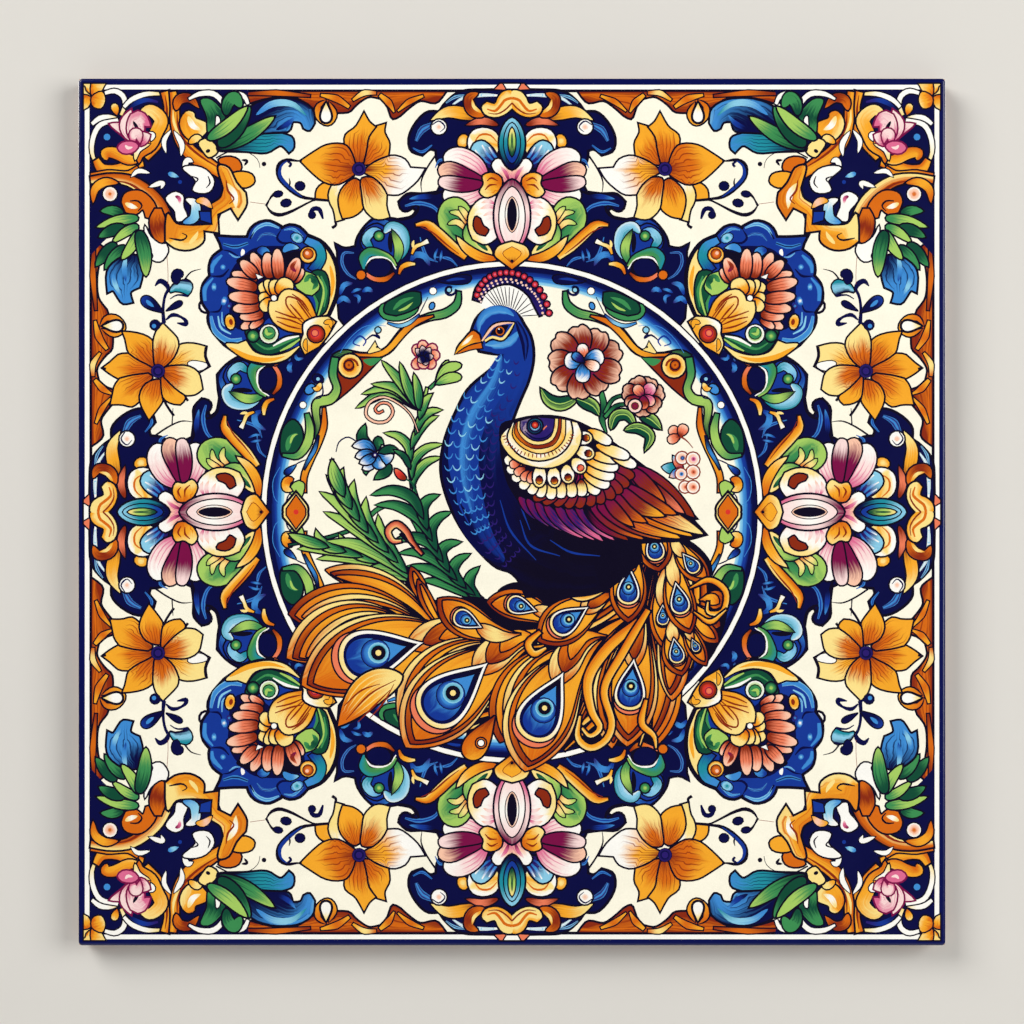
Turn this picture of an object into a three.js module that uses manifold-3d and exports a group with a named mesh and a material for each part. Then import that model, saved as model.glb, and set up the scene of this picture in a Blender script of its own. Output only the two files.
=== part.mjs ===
// Square decorative wall tile in glazed earthenware, hung or set by its back.
// Millimetres, +Z up. The painted face looks along -Y and the back lies in the plane y = 0.
// The origin is the middle of the back. The face is flat: its picture is only colour, so it isn't raised.
import * as THREE from "three";
import { mergeVertices } from "three/addons/utils/BufferGeometryUtils.js";
import Module from "manifold-3d";

const wasm = await Module();
wasm.setup();

// Driving dimensions
const TILE_SIDE = 305; // a 12 inch tile
const TILE_THICKNESS = 10;
const CORNER_RADIUS = 1.3; // the four corners, seen from the front
const ARRIS_RADIUS = 1.0; // the rounded edge round the face
const FOOT_CHAMFER = 0.8; // the bevel round the back
const ARC_STEPS = 6; // facets to a quarter turn
const RIM_WIDTH = 9; // flat land round the back, which meets the wall
const RIB_WIDTH = 6; // flat lands between the keying pockets
const POCKET_DEPTH = 1.5;
const POCKET_DRAFT = 0.6; // how far each pocket wall leans in on its way down
const POCKETS_ACROSS = 6; // even, so that two ribs cross at the middle of the back

// A counterclockwise square outline with round corners, moved in from the tile's side by inset.
function roundedSquare(inset) {
  const radius = Math.max(CORNER_RADIUS - inset, 0.25 * CORNER_RADIUS);
  const middle = TILE_SIDE / 2 - inset - radius;
  const points = [];
  const corners = [[1, 1], [-1, 1], [-1, -1], [1, -1]];
  corners.forEach(([sideX, sideZ], quarter) => {
    for (let step = 0; step <= ARC_STEPS; step += 1) {
      const angle = (quarter + step / ARC_STEPS) * (Math.PI / 2);
      points.push([
        sideX * middle + radius * Math.cos(angle),
        sideZ * middle + radius * Math.sin(angle),
      ]);
    }
  });
  return points;
}

// The tile's profile from the back to the face: how far each outline is moved in, and its depth.
function edgeProfile() {
  const profile = [[FOOT_CHAMFER, 0], [0, -FOOT_CHAMFER]];
  for (let step = 0; step <= ARC_STEPS; step += 1) {
    const angle = (step / ARC_STEPS) * (Math.PI / 2);
    profile.push([
      ARRIS_RADIUS * (1 - Math.cos(angle)),
      -(TILE_THICKNESS - ARRIS_RADIUS) - ARRIS_RADIUS * Math.sin(angle),
    ]);
  }
  return profile;
}

// Skins a stack of outlines with equal point counts and closes both ends with a fan about their middle.
function loftSolid(outlines, depths) {
  const count = outlines[0].length;
  const positions = [];
  const faces = [];
  outlines.forEach((outline, layer) => {
    outline.forEach(([x, z]) => positions.push(x, depths[layer], z));
  });
  for (let layer = 0; layer + 1 < outlines.length; layer += 1) {
    for (let i = 0; i < count; i += 1) {
      const next = (i + 1) % count;
      const low = layer * count;
      const high = low + count;
      faces.push(low + i, low + next, high + next);
      faces.push(low + i, high + next, high + i);
    }
  }
  const lastLayer = outlines.length - 1;
  const middleOf = (layer) => {
    const outline = outlines[layer];
    const sum = outline.reduce(([x, z], [px, pz]) => [x + px, z + pz], [0, 0]);
    positions.push(sum[0] / count, depths[layer], sum[1] / count);
    return positions.length / 3 - 1;
  };
  const backMiddle = middleOf(0);
  const faceMiddle = middleOf(lastLayer);
  for (let i = 0; i < count; i += 1) {
    const next = (i + 1) % count;
    faces.push(backMiddle, next, i);
    faces.push(faceMiddle, lastLayer * count + i, lastLayer * count + next);
  }
  const geometry = new THREE.BufferGeometry();
  geometry.setAttribute("position", new THREE.Float32BufferAttribute(positions, 3));
  geometry.setIndex(faces);
  return geometry;
}

function toSolid(geometry) {
  geometry.deleteAttribute("normal");
  geometry.deleteAttribute("uv");
  const merged = mergeVertices(geometry, 1e-4);
  const vertProperties = new Float32Array(merged.attributes.position.array);
  const triVerts = new Uint32Array(merged.index.array);
  return new wasm.Manifold(new wasm.Mesh({ numProp: 3, vertProperties, triVerts }));
}

function toGeometry(solid) {
  const mesh = solid.getMesh();
  const geometry = new THREE.BufferGeometry();
  geometry.setAttribute("position", new THREE.Float32BufferAttribute(mesh.vertProperties, 3));
  geometry.setIndex(Array.from(mesh.triVerts));
  geometry.computeVertexNormals();
  return geometry;
}

function slabGeometry() {
  const profile = edgeProfile();
  return loftSolid(
    profile.map(([inset]) => roundedSquare(inset)),
    profile.map(([, depth]) => depth),
  );
}

// One keying pocket: a square frustum that starts just behind the back and narrows into the clay.
function pocketGeometry(centreX, centreZ, mouth) {
  const proud = POCKET_DEPTH;
  const squareAt = (depth) => {
    const half = mouth / 2 - POCKET_DRAFT * (depth / POCKET_DEPTH);
    return [[1, 1], [-1, 1], [-1, -1], [1, -1]].map(([x, z]) => [centreX + x * half, centreZ + z * half]);
  };
  return loftSolid([squareAt(-proud), squareAt(POCKET_DEPTH)], [proud, -POCKET_DEPTH]);
}

// The keying pockets fill the back inside its rim, with ribs of equal width between them.
function pocketGrid() {
  const span = TILE_SIDE - 2 * RIM_WIDTH;
  const mouth = (span - (POCKETS_ACROSS - 1) * RIB_WIDTH) / POCKETS_ACROSS;
  const pitch = mouth + RIB_WIDTH;
  const first = -((POCKETS_ACROSS - 1) / 2) * pitch;
  const pockets = [];
  for (let column = 0; column < POCKETS_ACROSS; column += 1) {
    for (let row = 0; row < POCKETS_ACROSS; row += 1) {
      pockets.push(toSolid(pocketGeometry(first + column * pitch, first + row * pitch, mouth)));
    }
  }
  return pockets;
}

function buildTile() {
  const body = pocketGrid().reduce(
    (solid, pocket) => solid.subtract(pocket),
    toSolid(slabGeometry()),
  );
  const glaze = new THREE.MeshStandardMaterial({ color: 0xf8f0d8, roughness: 0.2, metalness: 0 });
  const tile = new THREE.Mesh(toGeometry(body), glaze);
  tile.name = "tile";
  return tile;
}

const group = new THREE.Group();
group.add(buildTile());

export default group;
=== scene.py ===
"""Square wall tile in glazed earthenware, painted with a peacock medallion in a mirrored flower border.

The picture is flat colour under the glaze. It is drawn as brush shapes laid one over another, and the tile's
face is then cut along the edges that stay visible, so each face of the mesh carries one paint.
"""
import math

import bpy
import numpy as np
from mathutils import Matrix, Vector, geometry


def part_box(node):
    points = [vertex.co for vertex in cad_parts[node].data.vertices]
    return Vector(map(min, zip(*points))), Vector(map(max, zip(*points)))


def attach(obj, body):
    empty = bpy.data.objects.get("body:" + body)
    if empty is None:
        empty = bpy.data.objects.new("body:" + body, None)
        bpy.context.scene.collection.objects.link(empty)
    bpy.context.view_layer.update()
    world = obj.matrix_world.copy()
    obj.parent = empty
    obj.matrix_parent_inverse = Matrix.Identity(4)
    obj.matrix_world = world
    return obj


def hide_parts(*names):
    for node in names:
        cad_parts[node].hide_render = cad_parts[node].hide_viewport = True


bl_info = {
    "name": "Painted Peacock Tile",
    "version": (1, 0, 0),
    "blender": (4, 5, 0),
    "location": "View3D > Sidebar > Tile",
    "description": "Builds a glazed wall tile with a painted peacock medallion",
    "category": "Add Mesh",
}

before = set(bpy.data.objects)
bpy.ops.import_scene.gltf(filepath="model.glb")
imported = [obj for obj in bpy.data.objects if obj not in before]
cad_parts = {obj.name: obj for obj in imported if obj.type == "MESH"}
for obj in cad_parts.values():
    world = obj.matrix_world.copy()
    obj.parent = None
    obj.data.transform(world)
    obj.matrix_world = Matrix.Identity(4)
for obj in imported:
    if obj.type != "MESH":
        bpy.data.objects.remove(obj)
CAD_LOW, CAD_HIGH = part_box("tile")
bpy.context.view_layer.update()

HALF_SIDE = (CAD_HIGH.x - CAD_LOW.x) / 2
THICKNESS = CAD_HIGH.y - CAD_LOW.y
MM = 0.001

# The picture is drawn on a grid with its zero in the middle of the tile. Points are complex numbers of grid
# steps, x + y * 1j with y up, and this many steps reach the tile's side.
GRID_HALF = 433.75
STEP = HALF_SIDE / GRID_HALF
STRAY = 0.45  # how far the chords of a curve may stray from it, in steps
LONGEST = 14.0  # the longest chord of a bent line, in steps
INK = 1.5  # half the usual outline, in steps
OUTLINE = 1.75  # how much wider an outline is laid than its given half width
EDGE_REACH = 428.0  # the furthest that the picture goes from the middle lines, in steps
CORNER_FACETS = 6  # to each rounded corner of the tile
RIM_SPACING = 4 * MM  # between points along the tile's sides


# Lines and outlines

def curve(points, closed=False):
    """A smooth path through the points, in many short chords: each span is a cubic whose slopes at its ends
    are the mean of the neighbouring chords' slopes, weighted by the square roots of the chords' lengths."""
    knots = np.asarray(points, complex)
    if closed:
        knots = np.concatenate([knots[-1:], knots, knots[:2]])
    else:
        knots = np.concatenate([[2 * knots[0] - knots[1]], knots, [2 * knots[-1] - knots[-2]]])
    spans = np.sqrt(abs(np.diff(knots))) + 1e-9
    slopes = np.diff(knots) / spans
    tangents = (slopes[:-1] * spans[1:] + slopes[1:] * spans[:-1]) / (spans[1:] + spans[:-1])
    t = np.linspace(0, 1, 13)[:-1]
    start, end = knots[1:-2, None], knots[2:-1, None]
    leave = (tangents[:-1] * spans[1:-1])[:, None]
    arrive = (tangents[1:] * spans[1:-1])[:, None]
    dense = (
        start * (2 * t**3 - 3 * t**2 + 1) + leave * (t**3 - 2 * t**2 + t)
        + end * (3 * t**2 - 2 * t**3) + arrive * (t**3 - t**2)
    ).ravel()
    return np.append(dense, knots[-2])


def at_shares(path, shares):
    """Points at the given shares of a path's length."""
    run = np.concatenate([[0], np.cumsum(abs(np.diff(path)))])
    return np.interp(shares * run[-1], run, path.real) + 1j * np.interp(shares * run[-1], run, path.imag)


def thin(path, stray=STRAY):
    """The same path with its points close together where it bends and far apart where it's straight, so that
    the chords stray from it by about stray."""
    side = np.diff(path)
    length = np.maximum(abs(side), 1e-9)
    turn = abs(np.angle(side[1:] / side[:-1] + 1e-12)) / (length[1:] + length[:-1]) * 2
    bend = np.maximum(np.append(turn, 0), np.insert(turn, 0, 0))
    crowd = np.sqrt(np.minimum(bend, 2) / (8 * stray)) + 1 / LONGEST
    grown = np.concatenate([[0], np.cumsum(crowd * length)])
    at = np.linspace(0, grown[-1], max(3, math.ceil(grown[-1]) + 1))
    return np.interp(at, grown, path.real) + 1j * np.interp(at, grown, path.imag)


def flow(points, closed=False):
    """A smooth path through the points, with no more points than its bends need."""
    return thin(curve(points, closed))


def normals(path):
    """Unit vectors to the left of an open path at each of its points."""
    ahead = np.gradient(path)
    return 1j * ahead / np.maximum(abs(ahead), 1e-9)


def arc(centre, radius, start, end):
    """A stretch of a circle between two angles in degrees, counterclockwise where end is the greater."""
    return thin(centre + radius * np.exp(1j * np.radians(np.linspace(start, end, 49))))


def coil(centre, start, turns, inner=0.15):
    """A spiral from start in towards centre: its radius shrinks evenly to a share inner of the first one."""
    t = np.linspace(0, 1, max(13, math.ceil(14 * abs(turns))))
    return centre + (start - centre) * (1 - (1 - inner) * t) * np.exp(2j * math.pi * turns * t)


class Shape:
    """A closed outline, and the spine that its brush strokes follow: a path, or one point to go round."""

    def __init__(self, outline, spine=None):
        outline = np.asarray(outline, complex)
        self.outline = outline[abs(np.roll(outline, -1) - outline) > 0.05]
        self.spine = None if spine is None else np.atleast_1d(np.asarray(spine, complex))

    def moved(self, mapping):
        return Shape(mapping(self.outline), None if self.spine is None else mapping(self.spine))


def stroke(points, half_at):
    """A brush stroke along a smooth path, whose half width at a share of its length is given by half_at."""
    u = (1 - np.cos(np.linspace(0, math.pi, max(25, 8 * len(points))))) / 2
    path = at_shares(curve(points), u)
    side = normals(path) * half_at(u)
    return Shape(np.concatenate([thin(path - side), thin(path + side)[::-1]]), thin(path, 8 * STRAY))


def blade(points, width, ends=(0.7, 0.7)):
    """A leaf or brush stroke: the half width at share u of the spine is width * u^a * (1 - u)^b over its own
    peak, with the ends (a, b). Zero gives a flat end, a half a round one and one a point."""
    a, b = ends
    peak = (a / (a + b)) ** a * (b / (a + b)) ** b
    return stroke(points, lambda u: width * u**a * (1 - u) ** b / peak)


def ribbon(points, widths):
    """A stroke whose half width runs evenly through the widths, from start to end."""
    return stroke(points, lambda u: np.interp(u, np.linspace(0, 1, len(widths)), widths))


def disc(centre, radius, stretch=1.0, turn=0.0):
    """A circle, or an ellipse whose axis at turn degrees is stretch times as long."""
    count = min(96, max(9, math.ceil(2 * math.pi * math.sqrt(radius / (4 * STRAY)))))
    ring = np.exp(2j * math.pi * np.arange(count) / count)
    ring = (ring.real * stretch + 1j * ring.imag) * np.exp(1j * math.radians(turn))
    return Shape(centre + radius * ring, [centre])


def field(*arcs, spine=None):
    """An area bounded by smooth arcs that meet at corners: each arc starts where the one before it ends, and
    an arc of one point is a straight side."""
    if spine is not None and len(spine) > 1:
        spine = thin(curve(spine), 8 * STRAY)
    if len(arcs) == 1:
        return Shape(flow(arcs[0], closed=True), spine)
    parts = []
    for index, points in enumerate(arcs):
        start = arcs[index - 1][-1]
        parts.append(flow([start, *points]) if len(points) > 1 else np.array([start]))
    return Shape(np.concatenate(parts), spine)


def swell(outline, amount):
    """Each point of a closed outline moved out by amount, along the mitre of its two sides."""
    area = (outline.real * np.roll(outline.imag, -1) - outline.imag * np.roll(outline.real, -1)).sum()
    side = np.roll(outline, -1) - outline
    normal = -1j * np.sign(area) * side / np.maximum(abs(side), 1e-9)
    both = normal + np.roll(normal, 1)
    return outline + amount * both / np.maximum(abs(both) ** 2 / 2, 0.45)


def kept_on_face(points):
    """The points, with those beyond the edge's navy moved in to it."""
    return np.clip(points.real, -EDGE_REACH, EDGE_REACH) + 1j * np.clip(points.imag, -EDGE_REACH, EDGE_REACH)


# The picture

ONCE = [lambda z: z]
FOUR_TURNS = [lambda z, k=k: z * 1j**k for k in range(4)]
FOUR_MIRRORED = [lambda z: z, np.conj, lambda z: -z, lambda z: -np.conj(z)]
EIGHT = FOUR_TURNS + [lambda z, k=k: np.conj(z) * 1j**k for k in range(4)]


class Picture:
    """Painted shapes, each laid over the ones before. A paint is three tones, from low to high: a tuple,
    or the names in one string, where one name alone stands for all three."""

    def __init__(self):
        self.shapes = []
        self.copies = ONCE

    def ink(self, shape, tone="ink"):
        """A plain shape in one colour."""
        self.paint(shape, (tone,) * 3, line=0)

    def paint(self, shape, tones, shade=(1, 0, 0), line=INK, veins=0, reach=0.6, tone="ink"):
        """Paints the shape with an outline of half width line under it. The tone at a point is shade[0] times
        its place along the spine, plus shade[1] times its distance from it, plus shade[2] times its place
        from the right side to the left. Veins are dark hairs along the spine that fade out at reach."""
        if isinstance(tones, str):
            names = tones.split()
            tones = tuple(names) * (3 // len(names))
        shape = Shape(kept_on_face(shape.outline), shape.spine)
        placed = [shape.moved(mapping) for mapping in self.copies]
        if line > 0:
            self.shapes += [(Shape(swell(one.outline, OUTLINE * line)), (tone,) * 3, (0, 0, 0), 0, 0)
                            for one in placed]
        self.shapes += [(one, tones, shade, veins, reach) for one in placed]

    def leaf(self, points, width, tones, ends=(0.6, 0.8), **how):
        self.paint(blade(points, width, ends), tones, **how)

    def band(self, points, widths, tones, **how):
        self.paint(ribbon(points, widths), tones, **how)

    def dot(self, centre, radius, tones, **how):
        self.paint(disc(centre, radius), tones, **how)

    def line(self, points, widths=(0.6, 0.9, 0.4), tone="ink"):
        self.ink(ribbon(points, widths), tone)


BEAD = ("rust", "red", "coral")
LEAF = ("dark_green", "green", "light_green")
FLAME = ("rust", "orange", "amber")
GOLD = ("orange", "amber", "butter")
COBALT = ("navy", "cobalt", "azure")
TEAL = ("cobalt", "teal", "sky")
ROSE = ("wine", "rose", "blush")
CORAL = ("rust", "coral", "shell")


def square(reach):
    """A square outline about the middle, cut into even spans."""
    side = reach * (1 - 2 * np.arange(18) / 18) + 1j * reach
    return Shape(np.concatenate([side * 1j**k for k in range(4)]))


def paint_bands(art):
    """The edge: a navy band at the rim, a cream line and a dark line round the ground."""
    art.copies = ONCE
    for reach, tone in ((427.2, "cream"), (422.6, "ink"), (419.6, "ground")):
        art.ink(square(reach), tone)


def paint_orange_flower(art):
    """The amber flowers beside the palmettes, with their blue sprigs."""
    art.copies = FOUR_MIRRORED
    heart = -153+343j
    paint_petal(art, heart, [-179+328j, -189+328j, -195+322j, -196+313j], [-183+312j], [-183+321j],
        tones="amber butter amber")
    paint_petal(art, heart, [-159+334j, -171+329j, -179+327j, -183+318j, -182+310j, -178+302j, -176+291j],
        [-169+293j], [-173+309j, -171+323j], tones="butter cream butter")
    paint_petal(art, heart, [-157+333j, -169+324j, -173+314j, -172+303j, -169+294j], [-159+296j, -150+303j,
        -148+312j, -150+328j])
    paint_petal(art, heart, [-150+333j, -141+334j, -132+330j, -126+321j, -126+306j, -123+295j],
        [-131+293j, -138+294j, -147+303j, -149+314j], tones="rust orange butter")
    paint_petal(art, heart, [-147+340j, -138+335j, -129+327j, -124+318j], [-113+318j, -101+326j, -94+333j,
        -88+343j], [-102+344j], [-107+352j, -118+356j, -127+354j, -142+347j], tones="rust amber cream")
    paint_petal(art, heart, [-148+348j, -146+364j, -143+377j, -137+385j], [-127+388j], [-128+380j, -123+369j,
        -124+357j], [-135+353j, -143+348j])
    paint_petal(art, heart, [-156+350j, -163+362j, -167+369j, -166+377j, -156+385j, -148+399j],
        [-143+390j, -137+385j], [-144+375j, -146+363j, -149+350j])
    paint_petal(art, heart, [-157+346j, -160+357j, -166+366j, -175+368j, -187+366j, -199+359j, -211+351j],
        [-199+339j, -187+330j, -175+328j, -166+332j, -156+339j])
    art.dot(heart, 6.6, "ink navy violet", shade=(0, 1, 0), line=0.4)
    art.dot(heart, 3.4, "violet sky violet", line=0)
    art.line([-177+291j, -176+287j, -180+284j], (1.2, 1.4, 1.6))
    art.line([-183+312j, -197+313j, -210+315j, -223+324j, -233+336j, -233+347j, -225+352j, -214+351j,
        -210+351j], (0.8, 1.4, 2.6, 2.8, 2.2, 0.6))
    art.line([-210+315j, -223+325j, -232+336j, -231+346j, -225+351j], (0.3, 1.6, 1.8, 0.6), "cobalt")
    art.line([-225+351j, -221+348j, -223+345j], (0.8, 1.4, 1.2), "navy")
    art.line([-183+311j, -197+312j, -210+306j, -222+300j, -233+297j, -241+300j, -246+307j],
        (0.8, 0.9, 1.1, 1.6, 2, 0.6))
    art.line([-246+306j, -241+315j, -238+318j], (1.4, 0.8, 1.6))
    art.paint(disc(-234+318j, 2.8, 1.6, 10), "navy", line=0.6)
    art.paint(disc(-226+309j, 3.6, 1.4, 12), "navy", line=0.6)
    art.paint(disc(-212+326j, 4.2, 1.1, 0), "navy", line=0.6)
    art.line([-223+334j, -222+330j, -223+324j], (0.3, 1, 0.3))
    art.dot(-200+297j, 3.2, "navy", line=0.6)
    art.line([-202+298j, -199+303j, -193+303j, -189+293j], (1.8, 2.4, 2.2, 0.9), "navy")
    art.line([-262+310j, -255+309j, -247+308j], (0.25, 0.25, 0.25), "rust")
    heart = -354+141j
    paint_petal(art, heart, [-359+143j, -368+147j, -378+153j, -384+162j, -386+172j, -389+180j],
        [-378+179j, -367+176j, -360+171j, -358+161j, -356+148j])
    paint_petal(art, heart, [-359+139j, -368+137j, -380+136j, -392+133j], [-401+138j, -409+144j],
        [-401+150j, -393+157j, -384+158j], [-376+152j, -366+147j, -359+143j])
    paint_petal(art, heart, [-360+135j, -368+125j, -372+116j, -373+111j], [-380+106j, -390+108j, -401+108j],
        [-399+117j, -397+126j, -392+133j], [-380+136j, -364+138j])
    paint_petal(art, heart, [-356+132j, -364+129j, -369+124j, -372+115j, -370+106j, -363+93j],
        [-356+102j, -350+111j, -350+122j, -352+132j])
    paint_petal(art, heart, [-350+135j, -346+133j, -336+124j, -327+117j], [-328+112j, -332+108j],
        [-340+109j, -348+114j, -350+124j])
    paint_petal(art, heart, [-348+146j, -339+155j, -334+166j], [-328+168j, -318+168j, -306+165j],
        [-307+156j, -303+146j], [-313+140j], [-322+145j, -332+147j], tones="rust amber butter")
    art.leaf([-324+149j, -314+146j, -304+147j], 4.6, "cream", ends=(0.6, 0.7), line=0.6)
    paint_petal(art, heart, [-348+143j, -334+146j, -323+145j, -314+139j, -310+123j], [-317+118j, -326+117j],
        [-336+124j, -347+135j], tones="rust orange butter")
    paint_petal(art, heart, [-356+146j, -358+160j, -358+172j, -355+181j, -349+188j], [-343+182j, -335+173j,
        -334+166j], [-338+156j, -345+148j, -351+144j], tones="rust orange butter")
    art.dot(heart, 6.6, "ink navy violet", shade=(0, 1, 0), line=0.4)
    art.dot(heart, 3.4, "violet sky violet", line=0)
    for points in (
        [-306+165j, -307+156j, -303+146j], [-349+114j, -345+106j, -338+96j], [-410+144j, -406+143j],
        [-327+117j, -326+114j, -324+111j],
    ):
        art.line(points, (1.4, 1.2, 1.4))
    art.line([-348+189j, -349+202j, -347+216j, -344+222j], (2.2, 1.6, 1.4, 1.6), "navy")
    art.paint(drop(-348+199j, -370+214j, 6), "navy navy cobalt", line=0.8)
    art.leaf([-366+212j, -363+209j, -358+205j], 2, "azure", line=0)
    art.paint(drop(-346+201j, -330+210j, 3.2), "navy", line=0.6)
    art.line([-346+192j, -340+197j, -333+196j, -326+191j, -326+188j, -335+189j], (0.8, 2.2, 1.2, 2.6, 0.6),
        "navy")
    art.dot(-357+187j, 4.8, "navy", line=0.6)
    art.dot(-358+186j, 2.2, "azure", line=0)
    art.line([-354+188j, -350+189j, -347+190j], (1, 0.9, 1.6), "navy")
    art.line([-343+222j, -346+228j, -352+231j, -357+226j], (1.8, 2.8, 2.6, 0.6), "navy")
    art.paint(field([-342+220j, -339+227j, -333+230j, -325+232j, -320+227j, -321+221j, -324+217j],
        [-330+220j, -337+221j], spine=[-341+222j, -330+227j, -322+224j]), "teal sky navy", shade=(0, 0, 1),
        line=0.9)
    art.leaf([-335+228j, -336+233j, -335+238j, -329+237j], 4.6, "navy", ends=(0.5, 0.4), line=0.6)
    art.line([-342+213j, -335+217j, -324+216j], (0.5, 0.9, 1.4), "navy")
    art.line([-327+233j, -321+240j, -311+243j], (0.9, 0.7, 0.3))
    art.line([-345+255j, -344+241j, -344+228j], (0.25, 0.25, 0.25), "rust")


def paint_ring(art):
    """The medallion: a cream line, a navy ring that pales inwards and the light ground inside it."""
    art.copies = ONCE
    for radius, tone in ((252, "ink"), (250.5, "cream"), (246, "ink"), (245, "navy"), (230, "ground")):
        art.ink(disc(0, radius), tone)
    art.copies = FOUR_TURNS
    for radius, half, tones in ((237.5, 4.5, COBALT), (230, 3, "azure sky ground")):
        art.band([radius * np.exp(1j * math.radians(angle)) for angle in np.linspace(-2, 92, 12)],
            (half, half), tones, shade=(0, 0, 1), line=0)


def paint_navy_ground(art):
    """The navy ground round the medallion and under the palmettes."""
    art.copies = EIGHT
    art.paint(field([421j], [-26+421j, -52+419j, -66+408j, -71+401j], [-72+399j], [-84+399j, -95+389j,
        -102+374j, -100+362j, -90+358j], [-82+364j, -75+362j], [-74+352j, -68+342j], [-70+328j, -74+319j],
        [-90+317j, -104+317j, -112+310j], [-108+302j, -100+305j, -94+302j], [-99+295j, -110+292j, -122+291j,
        -132+293j], [-142+284j], [-132+238j], [-66+231j], [231j]), "navy", line=1.6)
    art.paint(field([-76+317j, -92+317j, -105+316j, -112+310j, -110+303j, -104+302j, -99+307j],
        [-93+308j, -93+301j, -99+294j, -111+291j], [-122+293j, -137+294j], [-146+286j, -154+274j, -156+265j],
        [-166+263j, -173+265j, -178+270j], [-174+262j, -175+237j, -172+194j], [-92+92j], [212j], [362j]),
        "navy", line=1.4)


def paint_field(art):
    """The humps, curls and small scrolls on the navy ground."""
    art.copies = EIGHT
    art.leaf([-76+316j, -92+315j, -103+313j], 2.6, COBALT, line=0)
    art.leaf([-150+262j, -146+280j, -134+290j, -114+286j], 3.4, "cobalt cobalt azure", line=0)
    art.band([-158+259j, -168+259j, -170+249j, -164+238j, -156+233j], (0.7, 1.6, 1.8, 1.6, 0.6),
        "violet azure violet", shade=(0, 1, 0), line=0)
    for points, width in (
        ([-102+249j, -97+257j, -88+256j, -82+246j], 3.2), ([-74+264j, -77+257j, -77+250j], 1.2),
        ([-70+262j, -71+256j, -72+250j], 1.2), ([-172+217j, -168+227j, -159+229j], 2.6),
        ([-161+219j, -156+222j, -150+223j], 1.5), ([-150+220j, -144+223j, -139+220j], 2.4),
        ([-175+208j, -169+214j, -161+209j], 2.6), ([-159+217j, -153+215j, -154+208j], 1.6),
    ):
        art.leaf(points, width, "cobalt azure violet", ends=(0.6, 0.6), line=0)
    art.band([-113+238j, -110+245j, -103+248j, -97+248j], (0.8, 2, 2.4, 1), GOLD, line=0.8)
    art.band([-100+258j, -97+265j, -90+268j, -84+271j], (0.8, 1.8, 1.4, 2.2), "amber butter cream", line=0.7)
    art.leaf([-99+264j, -99+269j, -98+272j], 1.5, "butter", line=0)
    art.paint(field([-146+261j, -151+270j, -147+282j, -135+288j, -127+284j], [-120+289j, -110+282j,
        -106+270j], [-110+257j, -116+247j], [-133+259j]), "cobalt", line=1)
    art.leaf([-116+248j, -107+264j, -110+281j, -121+286j, -128+279j], 5, "teal sky cream", ends=(0.8, 0.5),
        shade=(0.3, 0, 0.6), line=0.7)
    art.leaf([-116+249j, -113+264j, -120+282j], 4.2, "green light_green dark_green", line=0.7)
    art.leaf([-121+259j, -122+270j, -122+280j], 2.4, "ink", ends=(0.5, 0.6), line=0)
    art.leaf([-140+264j, -146+272j, -139+281j, -130+281j], 4, "teal sky azure", ends=(0.5, 0.6), line=0.8)
    art.dot(-133+276j, 4.6, LEAF[::-1], shade=(0, 0.8, 0), line=0.9)
    art.band([-148+243j, -148+255j, -142+260j, -130+258j, -121+253j, -116+246j], (1, 4.4, 4.2, 3, 2.4, 1),
        "teal green light_green", shade=(0.6, 0, 0.4), line=0.9)
    art.band([-146+246j, -142+253j, -133+255j, -123+252j, -116+243j], (0.5, 0.9, 1, 0.9, 0.5), "cream",
        line=0)
    art.ink(disc(-133+243j, 11, 1.35, 10), "ink")
    art.ink(disc(-133+244j, 9, 1.3, 10), "navy")
    art.band([-146+238j, -138+233j, -126+233j, -118+239j], (1.6, 2, 2.4, 0.8), "coral orange rust", line=0.8)
    art.dot(-151+237j, 4.4, "orange coral coral", line=0.9)


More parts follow.
